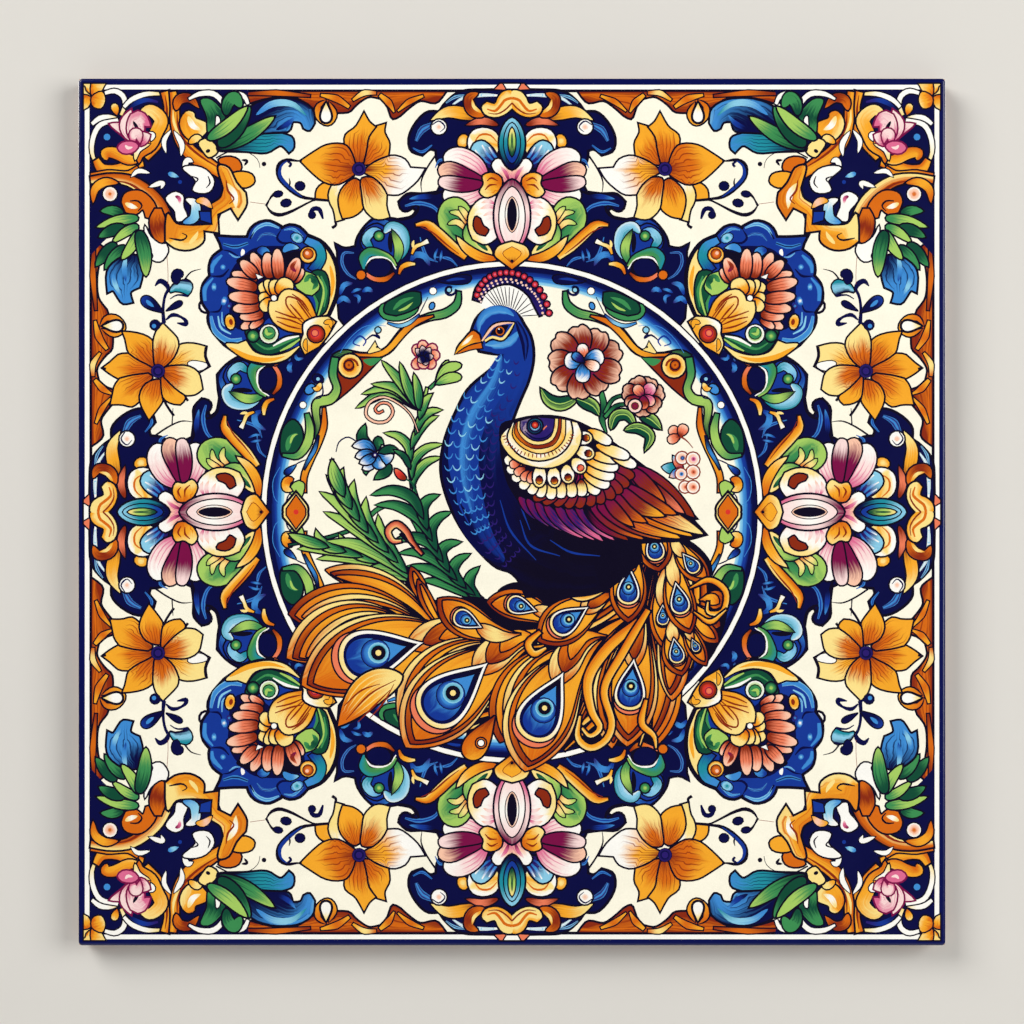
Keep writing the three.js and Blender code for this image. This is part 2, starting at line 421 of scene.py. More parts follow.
def paint_cartouche(art):
    """A scalloped blue cartouche with a fan of salmon petals, a striped yellow shell and a red jewel."""
    art.copies = FOUR_MIRRORED
    art.dot(-306+206j, 5.5, "cream")
    art.paint(field([-294+275j], [-278+274j, -264+274j], [-261+282j, -254+288j, -243+290j, -232+285j],
        [-231+282j], [-223+286j, -213+284j, -205+276j], [-190+269j, -179+254j, -175+236j, -178+211j,
        -185+195j], [-207+187j], [-213+166j, -226+154j, -245+149j, -264+153j, -287+168j],
        [-299+182j, -303+192j, -302+200j], [-309+211j, -308+227j, -301+236j], [-302+243j, -299+254j,
        -289+262j], [-291+269j]), "cobalt", line=1.7)
    for points, widths, tones in (
        ([-261+274j, -256+283j, -245+288j, -233+284j], (0.6, 1.8, 2, 0.8), "azure sky azure"),
        ([-255+271j, -250+277j, -241+278j, -235+275j], (0.5, 1.3, 1.5, 0.6), "azure violet azure"),
        ([-228+282j, -219+283j, -209+275j], (0.5, 1.5, 0.6), "azure azure sky"),
        ([-300+239j, -299+247j, -290+257j], (1.5, 3, 1.2), "azure azure cobalt"),
        ([-307+211j, -307+224j, -299+234j], (2, 2.6, 1), "azure azure cobalt"),
        ([-301+196j, -297+181j, -283+171j, -270+173j], (1.2, 2.6, 3, 1.4), "azure azure sky"),
        ([-294+196j, -291+184j, -281+178j], (0.7, 1.4, 0.7), "sky sky azure"),
        ([-290+200j, -289+188j, -280+183j], (0.6, 1.1, 0.5), "azure sky azure"),
        ([-289+268j, -277+265j, -264+269j], (1.4, 2.4, 1.6), "navy azure cobalt"),
        ([-283+259j, -277+255j, -272+255j], (0.4, 1, 0.4), "azure sky azure"),
    ):
        art.band(points, widths, tones, shade=(0, 1, 0), line=0)
    for points, widths in (
        ([-262+273j, -258+280j], (1, 0.4)),
        ([-231+282j, -235+274j, -230+269j, -220+270j], (0.4, 1.2, 1.2, 0.4)),
        ([-301+236j, -290+236j, -283+243j], (0.4, 1.4, 0.5)),
        ([-302+200j, -293+201j, -290+207j], (0.4, 1.2, 0.5)),
        ([-289+262j, -283+261j, -274+256j], (0.4, 1, 0.5)),
    ):
        art.line(points, widths, "navy")
    art.ink(field([-284+230j, -280+243j, -271+254j, -260+263j, -245+266j, -231+266j, -216+265j, -208+257j,
        -208+243j, -216+230j, -245+192j, -272+182j, -281+190j, -283+211j]), "navy")
    art.ink(field([-276+251j, -266+257j, -255+258j], [-226+259j, -212+261j, -209+249j, -212+243j],
        [-245+230j]), "ink")
    art.dot(-289+245j, 3.2, "sky azure cobalt", shade=(0, 1, 0), line=0)
    art.paint(disc(-298+225j, 2.4, 1.9, 90), "sky azure cobalt", shade=(0, 1, 0), line=0)
    art.paint(disc(-288+211j, 2.6, 2, 75), "cream azure cobalt", shade=(0, 1, 0), line=0)
    art.paint(disc(-283+206j, 2.2, 1.8, 60), "azure violet cobalt", shade=(0, 1, 0), line=0)
    art.paint(disc(-215+274j, 4.2, 1.5, -30), "teal sky azure", shade=(0, 1, 0), line=0.6)
    art.leaf([-270+263j, -269+260j, -271+256j], 2, "cream", line=0)
    art.leaf([-255+262j, -247+260j, -243+252j], 4.5, "cobalt azure sky", line=0.7)
    art.leaf([-229+260j, -223+265j, -213+264j], 3.4, "azure azure sky", line=0.7)
    art.paint(field([-204+274j, -189+266j, -178+247j, -177+220j, -185+198j], [-194+195j],
        [-185+213j, -184+228j, -193+245j], [-188+256j, -193+266j]), GOLD[::-1], shade=(0, 0, 0.3), line=1)
    art.paint(field([-286+168j, -269+155j, -245+149j, -226+153j, -211+167j], [-226+159j, -243+156j,
        -258+160j, -266+171j], [-274+168j]), GOLD[::-1], line=1)
    art.leaf([-283+165j, -264+155j, -243+152j, -226+156j], 2.6, "amber", line=0)
    art.leaf([-182+247j, -179+230j, -181+213j], 2, "amber", line=0)
    art.band([-206+272j, -194+265j, -191+254j, -199+241j], (3, 4.6, 4.6, 5), "azure teal cobalt", line=0.9)
    art.paint(field([-199+240j, -188+240j, -183+224j, -187+201j, -195+195j], [-193+211j, -202+220j]),
        "dark_green", line=1)
    for points, tone in (
        ([-195+236j, -188+224j, -190+209j, -194+196j], "light_green"),
        ([-191+236j, -186+222j, -188+205j], "green"), ([-199+218j, -195+209j, -196+199j], "green"),
    ):
        art.line(points, (0.8, 1.5, 0.6), tone)
    art.paint(field([-266+182j, -258+164j, -245+158j, -226+163j, -212+173j], [-213+177j],
        [-226+175j, -243+168j, -255+182j]), "dark_green", line=1)
    for points, tone in (
        ([-256+169j, -245+163j, -230+168j, -214+175j], "green"),
        ([-232+161j, -222+166j, -212+173j], "light_green"), ([-239+166j, -226+173j, -213+176j], "cream"),
    ):
        art.line(points, (0.6, 1.6, 0.6), tone)
    art.paint(field([-216+226j, -212+238j, -206+240j], [-197+236j, -193+224j, -200+217j], [-206+218j]),
        "light_green butter cream", line=0.9)
    art.leaf([-208+230j, -202+235j, -196+228j, -200+222j], 3.4, "green dark_green green", line=0)
    art.leaf([-202+234j, -202+228j, -199+225j], 1.3, "light_green", line=0)
    art.dot(-243+178j, 9.2, "light_green light_green cream", shade=(0, 1, 0), line=0.9)
    art.dot(-243+179j, 5.8, "dark_green green green", shade=(0, 1, 0), line=0.6)
    art.leaf([-246+184j, -245+178j, -239+179j], 1.6, "light_green", line=0)
    art.dot(-259+176j, 5.6, LEAF[::-1], shade=(0, 1, 0), line=0.9)
    art.dot(-204+257j, 7.6, "butter butter amber", shade=(0, 1, 0), line=1)
    art.dot(-204+258j, 5.2, "coral orange rust", shade=(0, 1, 0), line=0.4)
    art.dot(-205+259j, 1.8, "shell", line=0)
    art.paint(disc(-282+190j, 4.6, 1.6, 100), "amber amber butter", shade=(0, 1, 0), line=1)
    art.paint(disc(-281+190j, 2, 1.6, 100), "rust", line=0)
    petals = (
        (-209+243j, -218+230j, 4.2), (-271+184j, -251+194j, 4.6), (-262+184j, -249+193j, 3.6),
        (-272+195j, -249+198j, 5.2), (-214+254j, -223+231j, 6.2), (-280+239j, -255+232j, 4.6),
        (-279+203j, -252+206j, 5.4), (-260+259j, -249+235j, 5.4), (-271+251j, -255+235j, 5.6),
        (-285+231j, -255+224j, 6), (-245+259j, -242+234j, 6.2), (-283+216j, -253+213j, 5.8),
        (-235+263j, -233+233j, 5.8),
    )
    for tip, base, width in petals:
        art.leaf([base, 0.5 * (base + tip), tip], width, CORAL, ends=(0.35, 0.45), line=1, veins=4,
            reach=0.7, shade=(1.15, 0, 0))
    art.leaf([-216+240j, -220+245j, -215+252j], 2.2, "wine rust coral", line=0)
    art.paint(field([-256+238j], [-249+235j], [-254+233j]), "cream", line=0.6)
    for tip, base, width in (
        (-252+228j, -241+217j, 5.5), (-253+214j, -242+214j, 5.2), (-251+203j, -239+211j, 6),
        (-246+232j, -238+217j, 4.5), (-238+232j, -235+217j, 6), (-224+233j, -231+217j, 8.5),
    ):
        art.leaf([base, 0.5 * (base + tip), tip], width, GOLD, ends=(0.3, 0.35), line=1, veins=2, reach=0.5,
            shade=(1.4, 0, 0))
    art.paint(field([-232+217j, -226+222j, -214+220j, -203+211j, -196+195j], [-199+192j, -208+188j],
        [-210+179j], [-226+182j, -238+190j, -243+201j, -242+210j], [-234+211j], spine=[-235+215j, -221+201j,
        -207+186j]), GOLD[::-1], shade=(0.8, 0, 0), line=1.1)
    for points in (
        [-199+193j, -207+204j, -215+213j, -225+215j, -226+208j, -220+199j, -209+189j],
        [-215+211j, -209+203j, -202+193j], [-222+208j, -214+199j, -207+190j],
        [-210+187j, -222+192j, -236+195j], [-211+183j, -224+186j, -235+191j],
        [-210+193j, -220+195j, -237+201j], [-203+201j, -210+211j, -220+218j],
    ):
        art.line(points, (0.4, 1, 0.8, 0.5), "rust")
    art.dot(-238+214j, 4, "ink", line=0)
    art.dot(-238+214j, 2.7, "cream", line=0)
    art.paint(field([-208+188j, -197+194j, -184+195j], [-177+190j], [-185+176j, -193+166j], [-207+158j],
        [-211+168j, -208+178j], spine=[-208+188j, -193+175j]), "cream butter amber", line=1.2)
    art.leaf([-188+189j, -182+190j, -181+184j], 2.4, "amber", line=0.5)
    art.leaf([-206+173j, -207+166j, -205+161j], 1.8, "amber", line=0.5)
    art.dot(-196+178j, 8.2, BEAD[::-1], shade=(0, 1.1, 0), line=0.9)
    art.dot(-197+179j, 3.4, "coral coral red", shade=(0, 1, 0), line=0.4, tone="wine")


def paint_palmette(art):
    """The big mirrored ornament over the ring: navy wings, a teal heart, pink flowers and golden arms."""
    art.copies = EIGHT
    for points, widths, tones in (
        ([-96+371j, -90+382j, -76+389j], (1.4, 3.6, 1.6), "azure violet azure"),
        ([-99+364j, -90+360j, -80+367j], (0.6, 1.6, 0.6), "cobalt azure cobalt"),
        ([-62+405j, -49+414j, -26+417j, -9+416j], (0.6, 1.8, 1.8, 0.6), "cream sky cream"),
        ([-66+409j, -57+415j, -46+417j], (0.6, 1.6, 0.6), "violet sky azure"),
        ([-107+306j, -94+309j, -77+304j, -71+294j], (1, 2.4, 2, 0.8), "cobalt azure violet"),
        ([-77+344j, -72+352j, -62+350j], (0.3, 1.6, 0.3), "cobalt azure violet"),
        ([-92+275j, -85+255j, -74+250j], (0.3, 2.2, 0.3), "cobalt azure violet"),
        ([-77+255j, -62+253j, -54+245j], (0.3, 1.8, 0.3), "cobalt azure violet"),
    ):
        art.band(points, widths, tones, shade=(0, 1, 0), line=0)
    art.line([-87+340j, -104+339j], (0.7, 0.6, 0.3))
    art.paint(field([-12+432j], [432j], [422j], [-17+423j]), "coral coral orange", line=1)
    art.paint(field([-8+432j], [432j], [421j], [-5+423j]), "cream butter cream", line=0.8)
    art.leaf([-29+394j, -46+398j, -64+400j, -81+392j], 6, "rust amber butter", ends=(0.7, 0.9),
        shade=(1.1, 0, 0.1), line=1.1)
    art.leaf([-14+387j, -29+391j, -46+387j], 3.4, "rust coral rust", line=0.9)
    art.dot(-73+385j, 7.4, "shell cream cream", shade=(0, 1, 0), line=1)
    art.line([-80+387j, -73+391j, -67+385j, -72+380j], (0.5, 0.9, 0.3), "navy")
    art.leaf([-28+396j, -40+402j, -43+414j, -34+419j], 5.2, "orange rust orange", ends=(0.6, 0.7), line=1)
    art.leaf([-30+399j, -38+405j, -40+413j], 1.8, "amber butter amber", line=0)
    art.paint(disc(-49+371j, 5.2, 1.3, 70), GOLD[::-1], shade=(0.4, 0.7, 0), line=1)
    art.paint(field([-12+369j, -17+380j, -28+384j, -39+381j, -44+371j, -41+356j], [-30+357j, -17+355j],
        spine=[-14+366j, -40+375j]), "amber butter cream", shade=(0.4, 0.7, 0.2), line=1.1)
    art.line([-15+370j, -22+377j, -32+377j, -38+369j], (0.4, 1.2, 0.4), "orange")
    art.paint(field([-10+344j, -22+344j, -35+349j, -41+359j, -38+368j, -30+371j, -22+366j, -15+356j],
        spine=[-11+345j, -31+367j]), "navy violet sky", shade=(1, 0, 0.1), line=1.1, veins=6)
    for points in (
        [-14+347j, -24+357j, -30+367j], [-11+348j, -18+357j, -23+365j], [-18+346j, -29+353j, -37+362j],
    ):
        art.band(points, (0.3, 1.4, 0.6), "cobalt azure cream", line=0)
    art.leaf([-25+334j, -39+347j, -57+354j, -66+348j], 11, "rose blush cream", ends=(0.6, 0.4),
        shade=(1.1, 0, 0), line=1.1, veins=5, reach=0.7)
    art.leaf([-25+325j, -41+317j, -57+315j, -67+322j], 10, "rose blush cream", ends=(0.6, 0.4),
        shade=(1.1, 0, 0), line=1.1, veins=5, reach=0.7)
    art.leaf([-27+330j, -46+335j, -64+342j, -73+339j], 8.4, "wine wine shell", ends=(0.6, 0.35),
        shade=(1.1, 0, 0), line=1, veins=6, reach=0.8)
    art.leaf([-27+328j, -46+327j, -63+329j, -73+331j], 7, "wine wine blush", ends=(0.6, 0.35),
        shade=(1.1, 0, 0), line=1, veins=6, reach=0.8)
    art.paint(field([340j, -6+349j, -15+353j, -20+347j, -15+338j, -8+330j, 328j], spine=[329j, -15+350j]),
        "rose shell cream", shade=(1.2, 0, 0), line=1.1, veins=4)
    art.leaf([-3+331j, -6+339j, -12+346j], 2, ROSE, line=0)
    art.paint(field([-43+305j, -55+314j, -68+310j, -74+295j, -69+280j, -55+268j, -40+270j],
        spine=[-40+270j, -63+299j]), LEAF, shade=(0.6, 0.6, 0), line=1.1, veins=3)
    for points in (
        [-43+280j, -55+290j, -64+288j], [-43+285j, -52+298j, -62+300j], [-43+290j, -48+300j, -53+305j],
    ):
        art.leaf(points, 2.6, "orange butter light_green", ends=(0.6, 0.5), line=0.7)
    art.leaf([-20+257j, -31+264j, -43+277j, -44+289j], 7.4, "butter light_green green", line=1, veins=3)
    art.leaf([-24+261j, -35+272j, -41+283j], 2.6, "dark_green green dark_green", line=0)
    art.band([-96+287j, -85+288j, -73+278j, -59+265j, -46+255j], (1.2, 4, 4.6, 4.4, 3), GOLD,
        shade=(0.2, 0, 0.8), line=1.1)
    art.line([-91+285j, -80+280j, -66+268j, -53+258j], (0.3, 1, 0.3), "rust")
    art.leaf([-15+253j, -31+255j, -46+264j, -55+275j], 4.4, GOLD, ends=(0.6, 0.7), line=1)
    art.paint(field([-12+314j, -24+315j, -35+310j, -43+297j, -43+283j, -39+273j], [-27+268j, -15+275j,
        -10+288j], spine=[-11+296j, -40+290j]), "blush cream butter", line=1.1, veins=4)
    for points in (
        [-15+303j, -24+306j, -32+303j], [-14+297j, -22+299j, -29+296j], [-17+308j, -24+311j, -31+309j],
    ):
        art.leaf(points, 2, "rose blush shell", line=0)
    art.paint(field([-36+295j, -38+286j, -34+279j, -27+277j], [-24+282j, -29+286j, -32+293j]),
        "rust red orange", shade=(0, 0, 1), line=1)
    art.paint(field([-11+334j, -20+339j, -29+336j, -28+328j, -32+320j, -26+315j, -17+318j, -11+325j],
        spine=[-11+329j, -30+325j]), GOLD, shade=(0.9, 0, 0.2), line=1.1, veins=3)
    for points in ([-14+331j, -21+334j, -25+331j], [-15+327j, -22+327j, -27+322j]):
        art.line(points, (0.3, 1.1, 0.4), "rust")
    art.paint(field([421j, -9+420j, -14+414j, -17+408j, -25+410j], [-30+405j, -27+398j, -17+395j, -7+398j,
        404j], spine=[-26+404j, -14+403j, -7+413j, 415j]), "butter butter amber", shade=(0, 0, 1), line=1.2)
    art.line([-25+403j, -17+401j, -11+407j, -7+412j, 414j], (0.6, 1.4, 1.4, 1.4), "orange")
    art.line([-24+399j, -15+398j, -7+402j, 409j], (0.3, 0.8, 0.8), "rust")
    art.line([-77+356j, -85+344j, -91+330j, -90+319j], (1, 0.9, 0.8, 0.3))
    art.copies = FOUR_TURNS
    for bottom, top, width, tones, line in (
        (343j, 394j, 12.6, "navy teal sky", 1.2), (349j, 389j, 8, TEAL, 0.7),
        (356j, 384j, 3.4, "dark_green light_green butter", 0.8), (362j, 380j, 1, "dark_green", 0),
        (260j, 332j, 17.6, "rose blush wine", 1.2), (264j, 325j, 12.6, "blush cream blush", 0.8),
        (280j, 315j, 6.6, "shell cream shell", 0.5), (281j, 314j, 5, "ink", 0),
    ):
        art.leaf([bottom, 0.5 * (bottom + top), top], width, tones, ends=(0.62, 0.62), line=line)


def drop(point, end, half_width, bend=0.0):
    """A teardrop from its sharp point to its round end, bent to one side."""
    axis = 0.5 * (point - end)
    turn = np.linspace(0, math.tau, max(14, round(abs(axis) * 1.4) + 6), endpoint=False)
    along, across = np.cos(turn), np.sin(turn) * np.sin(0.5 * turn) ** 1.5
    lean = bend * (1 - along**2) / max(abs(axis), 1e-6)
    outline = 0.5 * (point + end) + axis * (along + 1j * (across * half_width / (0.78 * abs(axis)) + lean))
    return Shape(outline, np.array([point, 0.5 * (point + end) + 1j * axis * lean[len(lean) // 4], end]))


def feather(root, tip, width, bend):
    """The outline of a long feather, narrow from its root and widest two thirds of the way to its tip."""
    along = (1 - np.cos(np.linspace(0, math.pi, 41))) / 2
    axis = tip - root
    spine = root + axis * along + 1j * axis / abs(axis) * bend * np.sin(math.pi * along)
    half = width * along**1.6 * (1 - along) ** 0.85 / 0.206
    side = normals(spine) * np.maximum(half, 0.1)
    return Shape(np.concatenate([thin(spine - side), thin(spine + side)[::-1]]), thin(spine, 3 * STRAY))


def paint_plume(art, root, tip, width, bend=0, eye=0, gap=3.6):
    """One tail plume: nested strands of orange and gold and, near its tip, an eye of the given size."""
    layers = ("orange amber orange", "rust orange rust", "orange butter orange")
    gap = 1.22 * gap
    count = max(2, int((width - 0.9 * eye) / gap))
    for index in range(count):
        inset = gap * index
        end = tip + (root - tip) / abs(root - tip) * 1.5 * inset
        art.paint(feather(root, end, width - inset, bend), layers[(count - 1 - index) % 3],
            shade=(0.9, 0, 0.2), line=1)
    if not eye:
        return
    spine = feather(root, tip, width, bend).spine
    at, near = at_shares(spine, np.array([0.64, 0.46]))
    towards = (near - at) / abs(near - at)
    for index in range(max(1, int(0.4 * width / gap))):
        art.paint(feather(root, at + towards * eye * (1.5 + 0.7 * index), 0.42 * width - gap * index,
            0.7 * bend), layers[2 - index % 3], shade=(0.9, 0, 0.2), line=1)
    art.paint(drop(at + towards * eye * 2, at - towards * eye * 1.5, eye * 1.14), "coral", line=1)
    art.paint(drop(at + towards * eye * 2.2, at - towards * eye * 1.22, eye * 1.12), "cream cream butter",
        line=1)
    art.paint(drop(at + towards * eye * 2, at - towards * eye * 1.05, eye * 0.97), "ink navy navy", line=0)
    art.paint(drop(at + towards * eye * 1.5, at - towards * eye * 0.94, eye * 0.78), "azure azure cobalt",
        shade=(1, 0.2, 0), line=0)
    heart = at + towards * eye * 0.36
    art.dot(heart - towards * eye * 0.12, eye * 0.56, "teal azure cobalt", shade=(0, 1, 0), line=0.5)
    art.dot(heart, eye * 0.42, "sky teal sky", shade=(0, 1, 0), line=0)
    art.dot(heart, eye * 0.3, "ink", line=0)
    art.dot(heart, eye * 0.12, "butter cream cream", line=0)


def paint_tail(art):
    """The peacock's long tail: plumes with blue eyes and golden strands on a dark ground."""
    art.copies = ONCE
    art.ink(field([-194-168j, -204-145j], [-194-120j, -200-104j], [-188-92j, -160-80j], [-167-68j],
        [-152-56j, -108-74j], [-101-55j], [-76-88j, -42-84j, -20-88j], [-12-76j, 3-70j, 18-72j],
        [48-68j, 88-28j, 168-24j, 198-48j, 201-70j], [216-80j, 214-108j, 204-138j, 194-153j],
        [182-148j, 171-164j], [152-194j, 144-236j], [128-230j, 114-235j], [98-234j, 78-240j, 60-232j],
        [36-244j, 13-260j], [-4-236j, -20-208j], [-36-246j, -50-238j], [-46-216j, -72-232j, -106-236j],
        [-114-200j, -108-178j], [-132-182j, -172-176j]), "ink")
    for first, last, count, width in (
        ([133-33j, 106-86j, 48-116j, -12-122j, -72-116j, -116-120j], [140-48j, 120-106j, 63-140j, -7-152j,
            -72-156j, -122-164j], 6, 3.2),
        ([142-48j, 122-108j, 68-143j, 3-160j, -62-178j, -92-188j], [146-60j, 130-128j, 90-170j, 33-196j,
            -22-210j, -62-223j], 6, 3.2),
        ([144-58j, 128-128j, 92-172j, 63-192j, 36-210j], [150-68j, 140-138j, 116-180j, 83-210j, 53-238j], 5,
            3.2),
        ([150-48j, 140-118j, 122-164j, 108-208j], [160-48j, 152-128j, 144-178j, 128-233j], 4, 3),
        ([160-28j, 164-78j, 168-128j, 164-158j], [188-48j, 192-78j, 188-118j, 178-156j], 5, 2.6),
        ([48-138j, -12-140j, -62-118j, -112-88j, -162-63j], [48-144j, -12-156j, -72-144j, -142-118j,
            -202-108j], 6, 3.4),
    ):
        paint_strands(art, first, last, count, width)
    for root, tip, width, bend, eye, gap in (
        (188-88j, 212-92j, 9, 3, 0, 3), (178-88j, 208-114j, 9, -3, 0, 3), (178-98j, 206-130j, 8, -2, 0, 3),
        (128-88j, 143-234j, 17, 16, 0, 3.4), (138-88j, 160-188j, 15, 10, 0, 3.4),
        (128-98j, 48-232j, 26, -24, 0, 3.6), (128-98j, 100-236j, 17, -14, 0, 3.6),
        (-67-128j, -186-58j, 13, -16, 0, 3.4), (-62-132j, -223-102j, 26, -17, 0, 3.8),
        (-72-134j, -225-146j, 28, -26, 0, 3.6), (-76-104j, -101-55j, 7, 2, 0, 3.2),
        (-62-124j, -94-68j, 6, 3, 0, 3.2), (8-138j, -114-188j, 26, -22, 0, 3.8),
        (-12-138j, -210-173j, 38, -20, 25, 3.4), (28-138j, -112-210j, 30, -24, 0, 3.6),
        (28-128j, -106-235j, 37, -14, 25, 3.4), (88-128j, -12-230j, 26, -22, 0, 3.6),
        (94-124j, 13-259j, 35, -17, 22, 3.4), (8-122j, -74-87j, 17, 9, 9, 3),
        (54-120j, -25-90j, 15, -9, 9, 3), (104-80j, 26-129j, 21, -2, 12.5, 3),
        (134-84j, 115-234j, 27, -4, 15, 3.4), (156-48j, 155-138j, 13, -5, 6, 2.8),
        (160-104j, 170-163j, 14, -2, 7.5, 2.8), (172-100j, 194-153j, 9, -3, 4, 2.6),
        (162-34j, 178-121j, 15, -5, 9.5, 2.8), (122-24j, 116-110j, 18, -2, 11, 3),
        (136, 147-59j, 16, 0, 9, 3), (160-18j, 197-69j, 12, -5, 7, 2.8),
    ):
        paint_plume(art, root, tip, width, bend, eye, gap)
    for points, widths in (
        ([128-28j, 100-44j, 80-54j, 62-50j], (2, 3.6, 3.2, 0.4)),
        ([122-34j, 106-60j, 88-78j, 68-86j, 50-78j], (2, 3.6, 3.6, 3, 0.4)),
        ([104-68j, 88-74j, 72-72j, 68-64j, 78-62j], (1.4, 2.6, 2.6, 2, 1)),
        ([128-108j, 94-138j, 76-168j, 80-200j, 88-216j, 78-224j, 70-216j], (3, 4.6, 5, 4.6, 3.6, 2.6, 1)),
        ([136-98j, 110-142j, 92-178j, 100-212j, 94-228j, 78-236j, 66-226j, 68-204j], (2.4, 3.6, 3.6, 3.4, 3,
            3, 3, 1)),
        ([28-120j, 16-132j, 22-142j, 34-136j], (1.6, 3, 3, 1)),
        ([178-76j, 198-68j, 214-80j, 210-100j, 196-100j, 196-90j], (0.4, 2.2, 2.6, 2.4, 2, 0.6)),
        ([182-100j, 198-110j, 214-98j], (0.4, 2.2, 0.4)),
        ([134-188j, 130-212j, 142-224j, 144-236j], (1.4, 3, 2.6, 0.6)),
    ):
        art.band(points, widths, GOLD, shade=(0.4, 0, 0.6), line=1.2)
    art.paint(disc(85-36j, 4, 1.6, 60), "coral rust wine", shade=(0, 1, 0), line=1)
    art.paint(drop(-17-204j, -45-246j, 13), FLAME, shade=(0.7, 0, 0.3), line=1.2)
    art.dot(-31-231j, 5, "orange rust orange", line=0.9)
    art.dot(-31-231j, 3, "cream cream butter", line=0.7)
    art.leaf([-110-164j, -140-176j, -174-214j], 16, GOLD[::-1], ends=(0.7, 1), shade=(1.2, 0, 0), line=1.3,
        veins=6, reach=0.8)
    for points in (
        [-116-168j, -142-182j, -166-208j], [-122-178j, -136-192j, -154-210j],
        [-132-172j, -150-178j, -168-194j], [-118-172j, -128-190j, -142-206j],
    ):
        art.line(points, (0.3, 1, 0.4), "rust")


def paint_body(art):
    """The peacock's blue neck and body, with rows of fine feather strokes."""
    art.copies = ONCE
    art.paint(field([-43+122j, -54+102j, -66+72j, -70+42j, -63+12j, -50-15j, -34-36j, -15-54j, -1-59j, 8-68j,
        15-83j], [88-78j, 128-48j], [108+32j, 8+72j], [-1+88j, 1+96j, 8+114j, 15+130j, 20+150j, 20+165j,
        17+177j, 11+187j], [3+201j, -4+205j, -14+205j, -26+201j, -35+192j, -40+179j], [-32+162j],
        [-22+160j, -11+159j], [-12+152j, -20+142j], spine=[-4+165j, -12+130j, -36+84j, -40+30j, -14-26j,
        30-50j]), "cobalt navy ink", line=1.8)
    for points, width, tones, shade in (
        ([-7+160j, -12+134j, -38+98j, -50+60j, -44+8j, -28-30j, -8-50j], 17, "navy cobalt cobalt",
            (-0.2, -0.6, 1.2)),
        ([-11+158j, -20+132j, -42+98j, -51+62j, -49+30j, -40-2j], 13, "cobalt azure teal", (-0.1, -1, 1.1)),
    ):
        art.leaf(points, width, tones, ends=(0.6, 0.5), line=0, shade=shade)
    spine = curve([-4+158j, -10+132j, -32+98j, -42+60j, -38+14j, -22-24j, 2-48j])
    for row in range(22):
        along = (row + 0.5) / 22
        centre, ahead = at_shares(spine, np.array([along, along + 0.01]))
        down = (ahead - centre) / abs(ahead - centre)
        side = 1j * down
        count = 3 + row % 2 + (2 if 4 < row < 20 else 0)
        for column in range(count):
            across = (column + 0.5) / count * 2 - 1
            place = centre + side * across * (13 + 14 * math.sin(math.pi * min(1, 1.25 * along)))
            size = 2.6 + 1.6 * math.sin(math.pi * along)
            bright = (row + column) % 3 == 0 and row < 14
            tone = "violet" if across > 0.45 or row > 17 else "sky" if bright else "azure"
            art.line([place + side * size, place + 0.9 * size * (down + 0.7 * side),
                place + 1.3 * size * down, place + 0.9 * size * (down - 0.7 * side), place - side * size],
                (0.2, 0.8, 0.2), tone)
    for points in (
        [8-8j, 18-33j, 48-44j], [-12+12j, -2-18j, 24-48j], [38-28j, 58-40j, 88-44j], [12+42j, 8+12j, 18-18j],
        [-52+42j, -54+12j, -42-14j],
    ):
        art.line(points, (0.4, 1.1, 0.4), "cobalt")


def on_cubic(start, leave, arrive, end, t):
    """The point at share t of a cubic from start to end that leaves towards leave and comes in from
    arrive."""
    return start * (1 - t) ** 3 + 3 * leave * t * (1 - t) ** 2 + 3 * arrive * t**2 * (1 - t) + end * t**3


